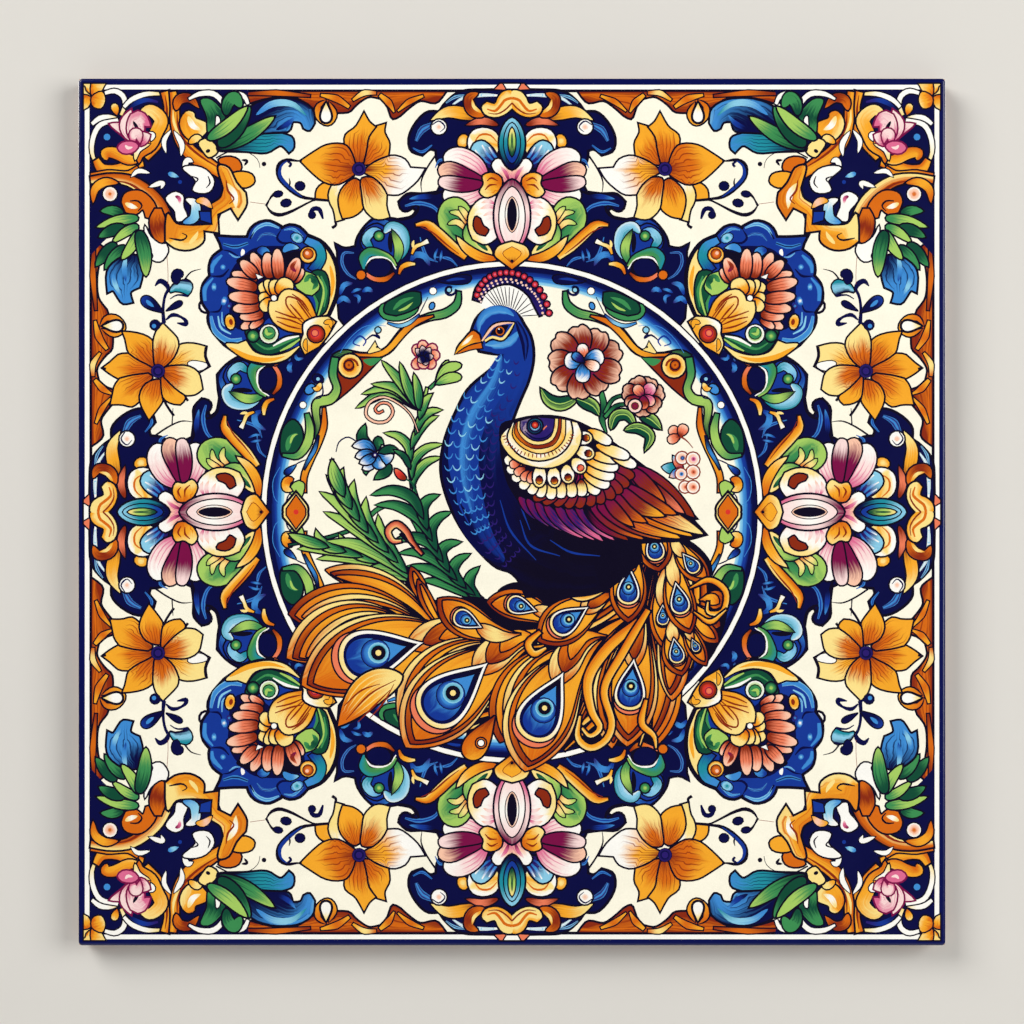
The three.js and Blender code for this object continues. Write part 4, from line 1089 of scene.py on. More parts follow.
def paint_corner(art):
    """A corner: a quarter of a gold flower, cream ribbons round a pink flower, and a scrolling orange frame
    round a navy star."""
    art.copies = FOUR_MIRRORED
    art.ink(field([-422+422j], [-263+422j], [-265+412j], [-294+366j, -303+352j], [-286+336j, -284+314j],
        [-296+284j], [-336+276j, -346+303j], [-372+319j, -379+286j], [-402+276j, -422+256j]), "navy")
    for points in (
        [-431+431j, -421+432j, -420+418j, -425+420j], [-419+432j, -407+432j, -411+421j, -420+417j],
        [-432+427j, -425+419j, -422+417j, -432+418j], [-432+416j, -422+415j, -424+405j, -432+403j],
        [-420+415j, -410+420j, -407+412j, -411+404j, -419+406j],
    ):
        art.paint(field(points, spine=[-421+417j, points[2]]), GOLD, shade=(0.9, 0, 0), line=0.9, veins=4)
    art.leaf([-395+397j, -397+404j, -399+408j], 3.6, GOLD, ends=(0.9, 0.5), line=0.8)
    for points in (
        [-407+419j, -397+421j, -389+416j, -387+407j, -391+397j],
        [-420+388j, -412+394j, -402+395j, -394+393j], [-388+405j, -381+412j, -366+418j, -351+418j],
        [-394+392j, -412+387j, -419+374j, -420+359j, -416+349j],
    ):
        art.band(points, (1.6, 2.4, 2.2, 1.2), "cream cream butter", line=0.8)
    art.band([-386+399j, -379+407j, -366+412j, -354+410j], (1, 2.6, 1), "navy cobalt violet", line=0)
    art.dot(-406+369j, 9, "navy", line=0)
    art.dot(-405+375j, 3.4, "azure azure cobalt", line=0)
    art.band([-416+352j, -410+343j, -397+341j, -382+346j, -369+349j], (3, 5.4, 6, 5, 3),
        "orange amber orange", shade=(0.3, 0, 0.7), line=1.2)
    art.leaf([-405+352j, -407+359j, -397+359j, -382+352j, -369+354j], 5.4, GOLD, ends=(0.5, 0.6), line=1,
        shade=(0.3, 0, 0.5))
    art.band([-347+420j, -344+407j, -344+394j, -347+382j, -354+369j, -366+354j], (4, 3.6, 4, 4.4, 4.6, 3),
        "orange amber orange", shade=(0.3, 0, 0.7), line=1.2)
    art.line([-347+417j, -345+402j, -347+386j, -356+371j], (0.3, 1.2, 0.9, 0.3), "rust")
    art.leaf([-372+397j, -362+402j, -351+392j, -356+379j, -361+367j, -372+357j, -373+349j], 6.4, GOLD[::-1],
        ends=(0.4, 0.6), shade=(0.9, 0, 0.2), line=1.1)
    art.leaf([-364+379j, -359+377j, -361+371j], 2.2, "cream", line=0.7)
    art.leaf([-377+352j, -374+362j, -362+368j], 2.4, "butter cream butter", line=0.8)
    for tip, middle, width, tones in (
        (-402+388j, -387+382j, 5.8, ROSE), (-381+402j, -386+387j, 6.6, "rose blush blush"),
        (-362+386j, -374+394j, 8.6, "rose blush rose"), (-362+377j, -369+374j, 7, ROSE),
    ):
        art.leaf([-377+372j, middle, tip], width, tones, ends=(0.4, 0.8), shade=(1.1, 0, 0.2), line=1,
            veins=5, tone="wine")
    art.ink(blade([-379+391j, -376+386j, -373+382j], 1.8), "ink")
    art.leaf([-379+369j, -378+379j, -374+379j, -372+369j], 4, "rose blush rose", line=0.9, tone="wine")
    art.paint(field([-394+364j, -390+369j, -379+370j, -374+366j, -379+360j, -389+359j]), "rose blush rose",
        line=1, tone="wine")
    art.leaf([-387+367j, -384+364j, -379+365j], 1.6, "blush", line=0)
    art.band([-421+336j, -402+337j, -384+337j, -374+344j], (2.6, 4.6, 4, 2), "orange amber orange", line=1)
    art.band([-421+332j, -402+334j, -382+331j, -366+321j, -354+308j, -346+293j, -345+276j],
        (3, 4, 5, 6, 7, 6, 4), "butter orange rust", shade=(0.1, 0, 0.8), line=1.2)
    art.band([-339+420j, -337+404j, -337+391j, -332+374j, -319+357j, -303+347j, -288+337j],
        (3, 4, 4.4, 6, 7, 6, 4.6), "orange amber orange", shade=(0.1, 0, 0.8), line=1.2)
    for points, tone in (
        ([-335+404j, -334+386j, -326+369j, -309+354j, -289+342j], "rust"),
        ([-402+332j, -382+328j, -366+316j, -354+299j, -348+279j], "rust"),
        ([-339+402j, -338+389j, -329+369j], "butter"),
    ):
        art.line(points, (0.3, 1.4, 1.2, 0.3), tone)
    art.leaf([-336+402j, -333+412j, -323+414j, -313+404j], 4.6, "orange rust orange", ends=(0.6, 0.9),
        line=1)
    art.paint(field([-329+397j, -324+401j, -318+399j, -317+394j, -306+389j, -305+382j, -311+375j, -321+372j,
        -329+379j, -332+389j], spine=[-328+399j, -319+386j, -316+374j]), GOLD, shade=(0.2, 0.3, 0.7),
        line=1.1)
    art.leaf([-324+396j, -319+386j, -311+382j], 3, "butter cream butter", line=0)
    art.leaf([-323+369j, -314+374j, -312+366j], 3.4, "amber butter amber", line=0.9)
    art.paint(field([-313+369j, -306+373j, -297+367j, -295+360j, -303+355j, -308+360j]),
        "butter cream butter", line=1.1)
    art.ink(disc(-304+361j, 1.9, 1.3, 30), "ink")
    art.leaf([-419+309j, -417+323j, -407+330j, -394+329j], 4, "orange amber orange", ends=(0.8, 0.7), line=1)
    art.dot(-402+318j, 7, "orange shell cream", shade=(0, 1, 0), line=0.8)
    art.paint(field([-390+311j, -386+319j, -372+321j, -361+313j, -356+303j, -360+294j, -366+295j],
        [-369+303j, -376+298j, -386+300j]), GOLD, shade=(0.5, 0, 0.5), line=1.1)
    art.line([-374+301j, -370+306j, -374+311j, -382+311j], (0.5, 1.1, 0.6))
    art.leaf([-387+309j, -381+306j, -374+304j], 2.6, "butter cream butter", line=0)
    art.paint(field([-362+293j, -360+278j, -352+269j, -346+272j], [-346+289j, -351+303j], [-357+303j],
        spine=[-356+303j, -354+286j, -349+271j]), "orange rust orange", line=1.1)
    art.paint(field([-367+286j, -362+276j, -352+268j, -346+268j], [-344+261j, -351+251j, -359+252j,
        -365+261j]), "cream", line=1)
    art.line([-366+265j, -359+256j, -362+251j], (0.5, 0.8, 0.3))
    for base, tip, width, tones in (
        (-389+298j, -411+301j, 4.6, "dark_green green green"),
        (-374+294j, -415+285j, 4.6, "green light_green light_green"),
        (-387+284j, -413+275j, 5.4, "dark_green dark_green green"),
        (-374+286j, -399+270j, 4.2, "green light_green light_green"),
        (-396+268j, -416+246j, 5.4, "dark_green dark_green green"),
        (-386+265j, -407+243j, 5.6, "dark_green green green"),
    ):
        art.leaf([base, 0.5 * (base + tip) + 2j, tip], width, tones, ends=(0.4, 0.7), line=1, veins=3)
    art.paint(field([-405+236j, -402+245j, -386+256j, -374+255j, -370+238j, -373+225j],
        [-382+220j, -380+210j], [-389+209j, -397+220j], [-399+222j, -404+220j], spine=[-379+256j, -389+236j,
        -386+211j]), "navy azure azure", shade=(0.8, 0, 0.2), line=1.3, veins=5, reach=0.9)
    art.leaf([-386+255j, -388+243j, -386+230j], 2.6, "sky azure cobalt", line=0)
    art.leaf([-399+238j, -397+228j, -391+216j], 2.4, "azure sky azure", line=0)
    for base, tip, width, tones in (
        (-373+281j, -390+253j, 4.8, "green light_green light_green"), (-373+281j, -366+236j, 6.4, LEAF),
    ):
        art.leaf([base, 0.5 * (base + tip) + 2, tip], width, tones, ends=(0.4, 0.6), line=1, veins=3)
    art.band([-323+413j, -313+418j, -298+418j, -288+407j, -288+397j], (1, 2.4, 2.6, 2.2, 1.4), "cream",
        line=0.8)
    art.band([-288+402j, -287+413j, -278+418j, -268+416j, -264+408j], (1.4, 2.2, 2.6, 2.2, 1.4), "cream",
        line=0.8)
    art.paint(field([-311+412j, -303+413j, -293+405j, -287+394j, -293+381j, -303+379j, -305+396j],
        spine=[-306+412j, -299+397j, -298+381j]), "green dark_green green", line=1, veins=4)
    art.leaf([-295+396j, -294+391j, -296+385j], 2, "cream", line=0.8)
    art.leaf([-286+397j, -284+409j, -278+415j, -271+405j], 5.6, "dark_green green green", ends=(0.5, 0.5),
        line=1, veins=4)
    art.paint(field([-265+400j, -256+408j, -236+413j, -213+411j, -200+402j, -198+389j],
        [-203+382j, -208+384j], [-211+390j, -220+391j], [-223+382j, -238+379j], [-265+369j, -293+364j],
        [-278+382j], spine=[-289+366j, -261+386j, -236+400j, -215+402j, -203+386j]), "navy azure sky",
        shade=(0.75, 0, -0.45), line=1.3, veins=6, reach=0.9)
    art.leaf([-256+397j, -240+408j, -220+408j, -205+396j], 3.4, "azure sky teal", line=0)
    art.leaf([-236+382j, -223+389j, -216+397j], 2.6, COBALT, line=0)
    art.paint(field([-294+363j, -276+372j, -250+377j, -230+378j], [-220+374j, -219+364j, -223+360j],
        [-231+367j, -245+360j, -266+361j], spine=[-293+363j, -261+369j, -221+367j]), "navy teal azure",
        shade=(0.9, 0, 0), line=1.3, veins=5, reach=0.9)
    for base, tip, width, tones in (
        (-293+364j, -238+395j, 6.6, LEAF), (-293+366j, -262+405j, 8, "dark_green dark_green green"),
        (-304+373j, -265+405j, 6, "green light_green light_green"),
    ):
        art.leaf([base, 0.5 * (base + tip) - 3j, tip], width, tones, ends=(0.5, 0.7), line=1.1, veins=3)
    art.paint(field([-289+346j, -293+352j, -284+355j, -274+352j, -271+344j, -278+337j]),
        "orange rust orange", line=1.1)
    art.paint(field([-281+337j, -271+340j, -260+337j, -258+330j, -265+325j, -273+326j]),
        "amber amber butter", line=1.1)
    art.paint(field([-293+346j, -284+344j, -276+329j, -267+319j], [-266+308j, -274+294j], [-281+305j],
        [-295+298j], [-294+280j], [-309+282j], [-309+271j, -321+263j, -336+264j, -346+271j], [-346+286j],
        [-344+298j, -336+288j, -319+286j], [-300+287j], [-300+308j], [-291+314j, -288+324j],
        spine=[-289+339j, -281+313j, -298+298j, -303+284j, -326+276j]), GOLD, shade=(0.1, 0.2, 0.7),
        line=1.3, veins=3, reach=0.9)
    art.leaf([-286+329j, -278+318j, -276+303j], 3.4, "butter cream butter", line=0)
    art.line([-286+332j, -284+321j, -278+313j, -283+308j], (0.4, 1.2, 0.9, 0.4), "rust")
    art.line([-343+274j, -329+272j, -325+276j, -330+279j], (0.4, 1.2, 0.8, 0.4))
    art.leaf([-323+268j, -316+276j, -314+281j], 2.2, "butter", line=0)
    for points, width in (
        ([-346+359j, -348+371j, -341+382j], 2.2), ([-338+381j, -330+367j, -331+356j], 2.6),
        ([-381+335j, -374+341j, -362+339j], 2.2), ([-363+325j, -349+329j, -351+323j], 2.4),
        ([-329+344j, -324+352j, -319+350j], 2.8),
    ):
        art.leaf(points, width, "cream", ends=(0.8, 0.8), line=0.6)
    art.leaf([-344+339j, -339+337j, -333+335j], 2.6, "azure sky azure", ends=(0.5, 0.9), line=0)
    art.dot(-332+330j, 2, "cobalt", line=0)
    art.paint(field([-329+344j, -319+346j, -306+342j, -298+331j, -302+321j, -311+319j, -319+322j,
        -316+331j]), "cream cream blush", line=1)
    art.line([-321+336j, -314+333j, -318+328j], (0.3, 0.9, 0.4))
    art.line([-306+324j, -302+329j, -304+336j], (0.3, 0.9, 0.4))
    art.paint(field([-346+314j, -337+320j, -329+316j, -329+306j, -325+294j, -335+291j, -337+301j,
        -343+308j]), "cream cream butter", line=1)
    art.leaf([-337+316j, -333+314j, -332+308j], 2, ROSE, line=0)
    art.leaf([-326+313j, -317+308j, -318+294j, -329+289j], 4.6, "cream sky azure", ends=(0.6, 0.6), line=1)
    art.leaf([-316+311j, -308+311j, -300+304j], 3.4, "amber shell amber", line=0.6)
    art.paint(field([-312+300j], [-302+300j], [-301+289j], [-311+292j]), "cobalt violet cobalt", line=0.9)
    art.line([-296+354j, -281+361j, -263+359j, -254+352j, -252+344j], (0.8, 0.7, 0.4, 0.3))
    art.ink(blade([-271+352j, -265+351j, -268+346j], 1.6), "ink")
    art.ink(disc(-248+348j, 2.4), "ink")


def paint_edging(art):
    """The rust and amber scalloped fringe under the edge lines, between the corners and the palmettes."""
    art.copies = EIGHT
    art.paint(field([-273+420j], [-67+420j], [-76+410j, -92+412j, -103+405j, -112+397j],
        [-119+394j, -124+406j, -131+414j], [-143+416j, -156+408j, -163+401j, -175+400j],
        [-183+408j, -191+403j, -202+406j], [-213+414j, -231+416j, -247+414j, -264+409j],
        spine=[-269+419j, -183+414j, -76+417j]), "rust orange rust", shade=(0, 0, 1), line=1.3, veins=6,
        reach=1)
    for points, widths, tones in (
        ([-269+418j, -237+419j, -202+416j], (1, 2.6, 1), "rust orange rust"),
        ([-191+417j, -175+413j, -163+405j], (1, 3.2, 1.4), "amber orange amber"),
        ([-159+412j, -148+419j, -136+419j], (1, 2.6, 1.4), "amber butter orange"),
        ([-132+417j, -123+409j, -118+400j], (1.6, 3, 0.6), "amber orange amber"),
        ([-114+401j, -103+410j, -89+416j], (0.6, 2.6, 1), "amber orange amber"),
    ):
        art.band(points, widths, tones, line=0.8)
    art.leaf([-186+412j, -194+405j, -193+396j, -184+390j, -178+398j, -183+410j], 3.4, "orange amber orange",
        ends=(0.9, 0.9), line=1)
    art.paint(drop(-186+409j, -186+390j, 5.4), "butter cream cream", line=1.4)


def paint_petal(art, heart, *arcs, tones=FLAME):
    """A petal with sharp corners, shaded from the flower's heart outwards, with dark hairs."""
    far = max((point for points in arcs for point in points), key=lambda point: abs(point - heart))
    art.paint(field(*arcs, spine=[heart, 0.5 * (heart + far), far]), tones, shade=(1.25, 0.25, 0), line=1.1,
        veins=7, reach=0.7, tone="ink")


def paint_strands(art, first, last, count, width):
    """Golden strands side by side, spread evenly from one path to another."""
    tones = (GOLD, FLAME, "amber butter amber")
    for index in range(count):
        share = index / (count - 1)
        points = [a * (1 - share) + b * share for a, b in zip(first, last)]
        art.band(points, (0.5 * width, width, width, 0.8 * width, 0.3), tones[index % 3],
            shade=(0.6, 0, 0.4), line=1.2)


def paint_frond(art, points, tips, width, tones, stem):
    """A stem with slender leaves that curve away from it to the given tips, listed from its root upwards."""
    path = curve(points)
    art.band(points, (stem, stem, 0.8 * stem, 0.4 * stem), tones, line=0.9)
    for index, tip in enumerate(tips):
        share = (index + 0.6) / (len(tips) + 0.6)
        root, base, ahead = at_shares(path, np.maximum(0, np.array([share - 0.16, share - 0.02, share])))
        middle = 0.5 * (base + tip) + 0.16 * abs(tip - base) * (ahead - base) / abs(ahead - base)
        art.leaf([root, 0.8 * base + 0.2 * middle, middle, tip], width, tones, ends=(0.8, 0.9),
            shade=(0.9, 0, 0.6), line=1, veins=4, reach=0.8)


def draw_picture():
    """All of the picture's shapes in the order they are painted."""
    art = Picture()
    for step in (
        paint_bands,
        paint_edging,
        paint_navy_ground,
        paint_palmette,
        paint_field,
        paint_cartouche,
        paint_corner,
        paint_orange_flower,
        paint_ring,
        paint_ring_pattern,
        paint_plants,
        paint_blooms,
        paint_tail,
        paint_body,
        paint_wing,
        paint_head,
    ):
        step(art)
    return art.shapes


# The flat face, cut along the picture's visible edges

def inside(points, outline):
    """Which points, given in order of height, lie in a closed outline: those round which it winds at least
    once, either way. Each side of the outline counts for the points beside it, to its left or right."""
    ahead = np.roll(outline, -1)
    low = np.searchsorted(points.imag, np.minimum(outline.imag, ahead.imag))
    count = np.searchsorted(points.imag, np.maximum(outline.imag, ahead.imag)) - low
    side = np.repeat(np.arange(len(outline)), count)
    which = np.arange(count.sum()) + np.repeat(low - np.cumsum(count) + count, count)
    away = points[which] - outline[side]
    run = (ahead - outline)[side]
    left = run.real * away.imag - run.imag * away.real
    turn = np.where(run.imag > 0, left > 0, -1.0 * (left < 0))
    return abs(np.bincount(which, turn, len(points))) > 0.5


def owners(points, shapes):
    """For each point the number of the topmost shape that it lies in, or -1."""
    order = np.argsort(points.imag)
    ranked = points[order]
    height = ranked.imag.copy()
    top = np.full(len(points), -1)
    for number, shape in enumerate(shapes):
        outline = shape[0].outline
        low, high = np.searchsorted(height, [outline.imag.min(), outline.imag.max()])
        across = ranked.real[low:high]
        near = low + np.flatnonzero((across >= outline.real.min()) & (across <= outline.real.max()))
        top[near[inside(ranked[near], outline)]] = number
    result = np.empty_like(top)
    result[order] = top
    return result


def triangulate(points, edges):
    """The constrained triangulation of points and edges: its points, its triangles."""
    flat = [(p.real, p.imag) for p in points.tolist()]
    made = geometry.delaunay_2d_cdt([Vector(p) for p in flat], edges.tolist(), [], 0, 0.02)
    corners = np.array([v.to_tuple() for v in made[0]])
    return corners[:, 0] + 1j * corners[:, 1], np.array([f for f in made[2] if len(f) == 3])


def visible_edges(triangles, owner):
    """The edges between triangles of different owners, and those on the outside."""
    sides = np.sort(np.concatenate([triangles[:, [0, 1]], triangles[:, [1, 2]], triangles[:, [2, 0]]]), 1)
    whose = np.tile(owner, 3)
    order = np.lexsort((sides[:, 1], sides[:, 0]))
    sides, whose = sides[order], whose[order]
    same = np.all(sides[1:] == sides[:-1], 1)
    inner = same & (whose[1:] == whose[:-1])
    first = np.append(inner, False)
    second = np.insert(inner, 0, False)
    kept = sides[~(first | second)]
    return np.unique(kept, axis=0)


def uncovered_edges(shapes):
    """The sides of every shape that aren't wholly under one later shape, as pairs of ends."""
    starts = np.concatenate([shape[0].outline for shape in shapes])
    ends = np.concatenate([np.roll(shape[0].outline, -1) for shape in shapes])
    whose = np.repeat(np.arange(len(shapes)), [len(shape[0].outline) for shape in shapes])
    over = owners(np.concatenate([starts, (starts + ends) / 2, ends]), shapes).reshape(3, -1)
    hidden = (over[0] > whose) & (over[0] == over[1]) & (over[1] == over[2])
    return np.stack([starts, ends], 1)[~hidden]


def join_ends(pairs):
    """The distinct points of a row of point pairs, and the pairs as their numbers."""
    points, numbers = np.unique(np.round(pairs, 4), return_inverse=True)
    return points, numbers.reshape(-1, 2)


def shading_lines(shapes):
    """The lines that shading needs inside its shape: the spine, or a short line from the middle that a disc's
    strokes go round. Gives their chords as pairs of ends, and each chord's shape."""
    chords, whose = [], []
    for number, (shape, tones, shade, veins, reach) in enumerate(shapes):
        if shape.spine is None or shade[1] == 0 or len(set(tones)) == 1:
            continue
        line = shape.spine if len(shape.spine) > 1 else np.array([shape.spine[0], shape.outline[:2].mean()])
        if len(shape.spine) == 1:
            line[1] = 0.5 * (line[0] + line[1])
        chords.append(np.stack([line[:-1], line[1:]], 1))
        whose += [number] * (len(line) - 1)
    return np.concatenate(chords), np.array(whose)


def partition(shapes, rim):
    """Cuts the area inside rim by the shapes' visible outlines, and lays the shading lines in it, so that
    what varies across a brush stroke varies over its own faces. Gives points, triangles and owners."""
    border = np.stack([rim, np.roll(rim, -1)], 1)
    points, triangles = triangulate(*join_ends(np.concatenate([border, uncovered_edges(shapes)])))
    chords, belongs = shading_lines(shapes)
    found = owners(np.concatenate([points[triangles].mean(1), chords.mean(1)]), shapes)
    seen = points[visible_edges(triangles, found[:len(triangles)])]
    shown = chords[found[len(triangles):] == belongs]
    points, triangles = triangulate(*join_ends(np.concatenate([seen, shown])))
    return points, triangles, owners(points[triangles].mean(1), shapes)


def brush_place(points, spine):
    """Where points lie on a stroke: the share along its spine, and the distance to its left."""
    if len(spine) == 1:
        away = points - spine[0]
        return np.angle(away) / (2 * math.pi) % 1, abs(away)
    start, ahead = spine[:-1], np.diff(spine)
    length = np.maximum(abs(ahead), 1e-9)
    run = np.concatenate([[0], np.cumsum(length)])
    away = points[:, None] - start
    local = away * np.conj(ahead) / length
    along = np.clip(local.real, 0, length)
    nearest = np.argmin(abs(local - along), 1)
    rows = np.arange(len(points))
    u = (run[nearest] + along[rows, nearest]) / run[-1]
    gap = abs(local[rows, nearest] - along[rows, nearest])
    return u, np.copysign(gap, local[rows, nearest].imag)


def stroke_fields(points, triangles, owner, shapes):
    """For every corner: its tone, its place (u, v) on the brush stroke, and its veins and their reach."""
    corners = points[triangles]
    tone, place = np.zeros(corners.shape), np.zeros(corners.shape, complex)
    hairs, reach = np.zeros(len(triangles)), np.zeros(len(triangles))
    order = np.argsort(owner, kind="stable")
    firsts = np.searchsorted(owner[order], np.arange(len(shapes) + 1))
    for number, (shape, tones, shade, veins, extent) in enumerate(shapes):
        faces = order[firsts[number]:firsts[number + 1]]
        if shape.spine is None or len(faces) == 0:
            continue
        u, v = brush_place(corners[faces].ravel(), shape.spine)
        edge_u, edge_v = brush_place(shape.outline, shape.spine)
        rank = np.argsort(edge_u)
        half = np.interp(u, edge_u[rank], abs(edge_v[rank])) if len(shape.spine) > 1 else abs(edge_v).max()
        v = np.clip(v / np.maximum(half, 0.3 * abs(edge_v).max()), -1, 1)
        mix = shade[0] * u + shade[1] * abs(v) + shade[2] * (v + 1) / 2
        if len(shape.spine) == 1:
            mix = shade[1] * abs(v)
        tone[faces] = mix.reshape(-1, 3)
        place[faces] = (u + 1j * v).reshape(-1, 3)
        hairs[faces], reach[faces] = veins, extent
    return tone, place, hairs, reach


def rounded_square(half, radius):
    """A counterclockwise square outline with round corners, cut into even spans along its sides."""
    middle = half - radius
    turn = np.exp(0.5j * math.pi * np.arange(CORNER_FACETS + 1) / CORNER_FACETS)
    count = max(2, round(2 * middle / RIM_SPACING))
    side = (1 - 2 * np.arange(1, count) / count) * middle
    quarter = np.concatenate([middle * (1 + 1j) + radius * turn, side + 1j * half])
    return np.concatenate([quarter * 1j**k for k in range(4)])


def paint_colours(shapes, owner):
    """The three tones of every triangle as rows of red, green, blue and alpha. Those that no shape owns, -1
    and -2, are the bare face at the rim and the sides, both in the edge's navy."""
    tints = bpy.context.scene.tile_paints
    known = {name: (*getattr(tints, name), 1.0) for name in PAINTS}
    bare = [[known["edge"]] * 3] * 2
    table = np.array([[known[t] for t in shape[1]] for shape in shapes] + bare)
    return table[owner]


def mesh_object(name, points, faces, smooth=True):
    """A mesh object at the origin from arrays of points and of triangles or quads."""
    mesh = bpy.data.meshes.new(name)
    faces = np.asarray(faces, np.int32)
    mesh.vertices.add(len(points))
    mesh.vertices.foreach_set("co", np.asarray(points, np.float32).ravel())
    mesh.loops.add(faces.size)
    mesh.loops.foreach_set("vertex_index", faces.ravel())
    mesh.polygons.add(len(faces))
    mesh.polygons.foreach_set("loop_start", np.arange(len(faces), dtype=np.int32) * faces.shape[1])
    mesh.update(calc_edges=True)
    mesh.validate()
    mesh.polygons.foreach_set("use_smooth", np.full(len(mesh.polygons), smooth))
    made = bpy.data.objects.new(name, mesh)
    bpy.context.scene.collection.objects.link(made)
    return made


def rings_to_faces(rings, count, base=0):
    """Triangles between stacked closed rings of count points each."""
    ring, index = np.meshgrid(np.arange(rings - 1), np.arange(count), indexing="ij")
    low = base + ring * count + index
    low_next = base + ring * count + (index + 1) % count
    quads = np.stack([low, low_next, low_next + count, low + count], -1).reshape(-1, 4)
    return np.concatenate([quads[:, [0, 1, 2]], quads[:, [0, 2, 3]]])


def shell_rings():
    """The glaze outside the flat face, from the face's rim outwards: how far each ring is moved in from the
    tile's side, its distance behind the face, and whether the wavy lower edge moves it. A quarter circle,
    then the side, a round lip, and the inner skin."""
    sizes = bpy.context.scene.tile_sizes
    roll = sizes.arris
    angles = np.linspace(0, math.pi / 2, 8)[1:]
    rings = [(roll * (1 - math.sin(a)), roll * (1 - math.cos(a)), 0) for a in angles]
    rings += [(0, roll + (sizes.glaze_reach - roll) * share, share) for share in (0.25, 0.5, 0.75, 1)]
    lip = sizes.glaze_coat
    rings += [(0.3 * lip, sizes.glaze_reach + 0.35 * lip, 1), (lip, sizes.glaze_reach + 0.2 * lip, 1)]
    rings.append((lip, 2 * lip, 0))
    return rings


def glaze_piece():
    """The glaze as one closed shell: the flat painted face, a rolled edge, a side that ends in a wavy line,
    and a hidden inner skin."""
    sizes = bpy.context.scene.tile_sizes
    shapes = draw_picture()
    roll, corner = sizes.arris, sizes.corner
    outline = rounded_square(HALF_SIDE - roll, corner - roll)
    points, triangles, owner = partition(shapes, outline / STEP)
    tone, place, hairs, reach = stroke_fields(points, triangles, owner, shapes)
    rim = np.array([np.argmin(abs(points - p)) for p in outline / STEP])
    count = len(rim)
    turn = np.arange(count) / count * 2 * math.pi
    wave = 0.45 * np.sin(23 * turn + 1) + 0.35 * np.sin(41 * turn + 2) + 0.3 * np.sin(9 * turn)
    spread = 1 / (2 * (HALF_SIDE + sizes.glaze_reach))
    layers, charts, run, last = [], [], 0.0, (roll, 0)
    for inset, behind, sway in shell_rings():
        run += math.hypot(inset - last[0], behind - last[1])
        last = (inset, behind)
        ring = rounded_square(HALF_SIDE - inset, corner - inset)
        layers.append(np.stack(
            [ring.real, -THICKNESS + behind + sway * sizes.glaze_wave * wave, ring.imag], 1))
        chart = rounded_square(HALF_SIDE - roll + run, corner - roll + run)
        charts.append(chart if inset == 0 or run < 2 * roll else np.full(count, -HALF_SIDE * 1.01))
    flat = np.stack([points.real * STEP, np.full(len(points), -THICKNESS), points.imag * STEP], 1)
    pole = np.array([[0, -THICKNESS + 2 * sizes.glaze_coat, 0]])
    first = len(points)
    ahead = np.roll(np.arange(count), -1)
    band = np.stack([np.stack([rim, first + np.arange(count), first + ahead], 1),
                     np.stack([rim, first + ahead, rim[ahead]], 1)]).reshape(-1, 3)
    stacked = rings_to_faces(len(layers), count, first)[:, [0, 2, 1]]
    inner = first + (len(layers) - 1) * count
    cap = np.stack([inner + ahead, inner + np.arange(count), np.full(count, inner + count)], 1)
    faces = np.concatenate([triangles, band, stacked, cap])
    vertices = np.concatenate([flat, *layers, pole])
    made = mesh_object("painted_glaze", vertices, faces)
    plan = np.concatenate([points * STEP, *charts, [-HALF_SIDE * 1.01]])
    extra = len(faces) - len(triangles)
    every = np.concatenate([owner, np.full(extra, -2)])
    add_corner_data(made, faces, plan * spread, paint_colours(shapes, every), {
        "stroke": (pad(place.real, extra), pad(place.imag, extra), pad(tone, extra)),
        "hairs": (pad(hairs[:, None].repeat(3, 1), extra), pad(reach[:, None].repeat(3, 1), extra),
                  (every[:, None] % 97 / 97).repeat(3, 1)),
    })
    return made


def pad(rows, extra):
    """Rows of corners with as many more rows of zeros as the shell's other faces need."""
    return np.concatenate([rows, np.zeros((extra, 3))])


def add_corner_data(made, faces, plan, tones, vectors):
    """Puts the flat chart and the paint of every corner into the mesh."""
    mesh = made.data
    chart = mesh.uv_layers.new(name="OFBake")
    corner = plan[faces.ravel()]
    chart.data.foreach_set(
        "uv", np.stack([corner.real + 0.5, corner.imag + 0.5], 1).astype(np.float32).ravel())
    for index, name in enumerate(("tone_low", "tone_mid", "tone_high")):
        layer = mesh.attributes.new(name, "FLOAT_COLOR", "CORNER")
        layer.data.foreach_set("color", tones[:, index].repeat(3, 0).astype(np.float32).ravel())
    for name, parts in vectors.items():
        layer = mesh.attributes.new(name, "FLOAT_VECTOR", "CORNER")
        layer.data.foreach_set("vector", np.stack(parts, -1).astype(np.float32).ravel())


def pocket_profile(sizes):
    """Places across the back and how deep the keying grid is at each: flat ribs, drafted walls with eased
    lips, and flat pocket floors. The depth at a point is the lesser of the two profiles there."""
    span = 2 * (HALF_SIDE - sizes.back_rim)
    mouth = (span - (sizes.pockets - 1) * sizes.back_rib) / sizes.pockets
    places, depths = [-HALF_SIDE + sizes.foot], [0.0]
    wall = np.array([0, 0.25, 0.6, 1.0])
    ease = np.array([0, 0.12, 0.7, 1.0])
    for index in range(sizes.pockets):
        low = -span / 2 + index * (mouth + sizes.back_rib)
        floor = np.linspace(low + sizes.pocket_draft, low + mouth - sizes.pocket_draft, 8)[1:-1]
        places += [
            *(low + wall * sizes.pocket_draft), *floor, *(low + mouth - wall[::-1] * sizes.pocket_draft),
        ]
        depths += [
            *(ease * sizes.pocket_depth), *np.full(6, sizes.pocket_depth), *(ease[::-1] * sizes.pocket_depth),
        ]
    return np.array([*places, HALF_SIDE - sizes.foot]), np.array([*depths, 0.0])


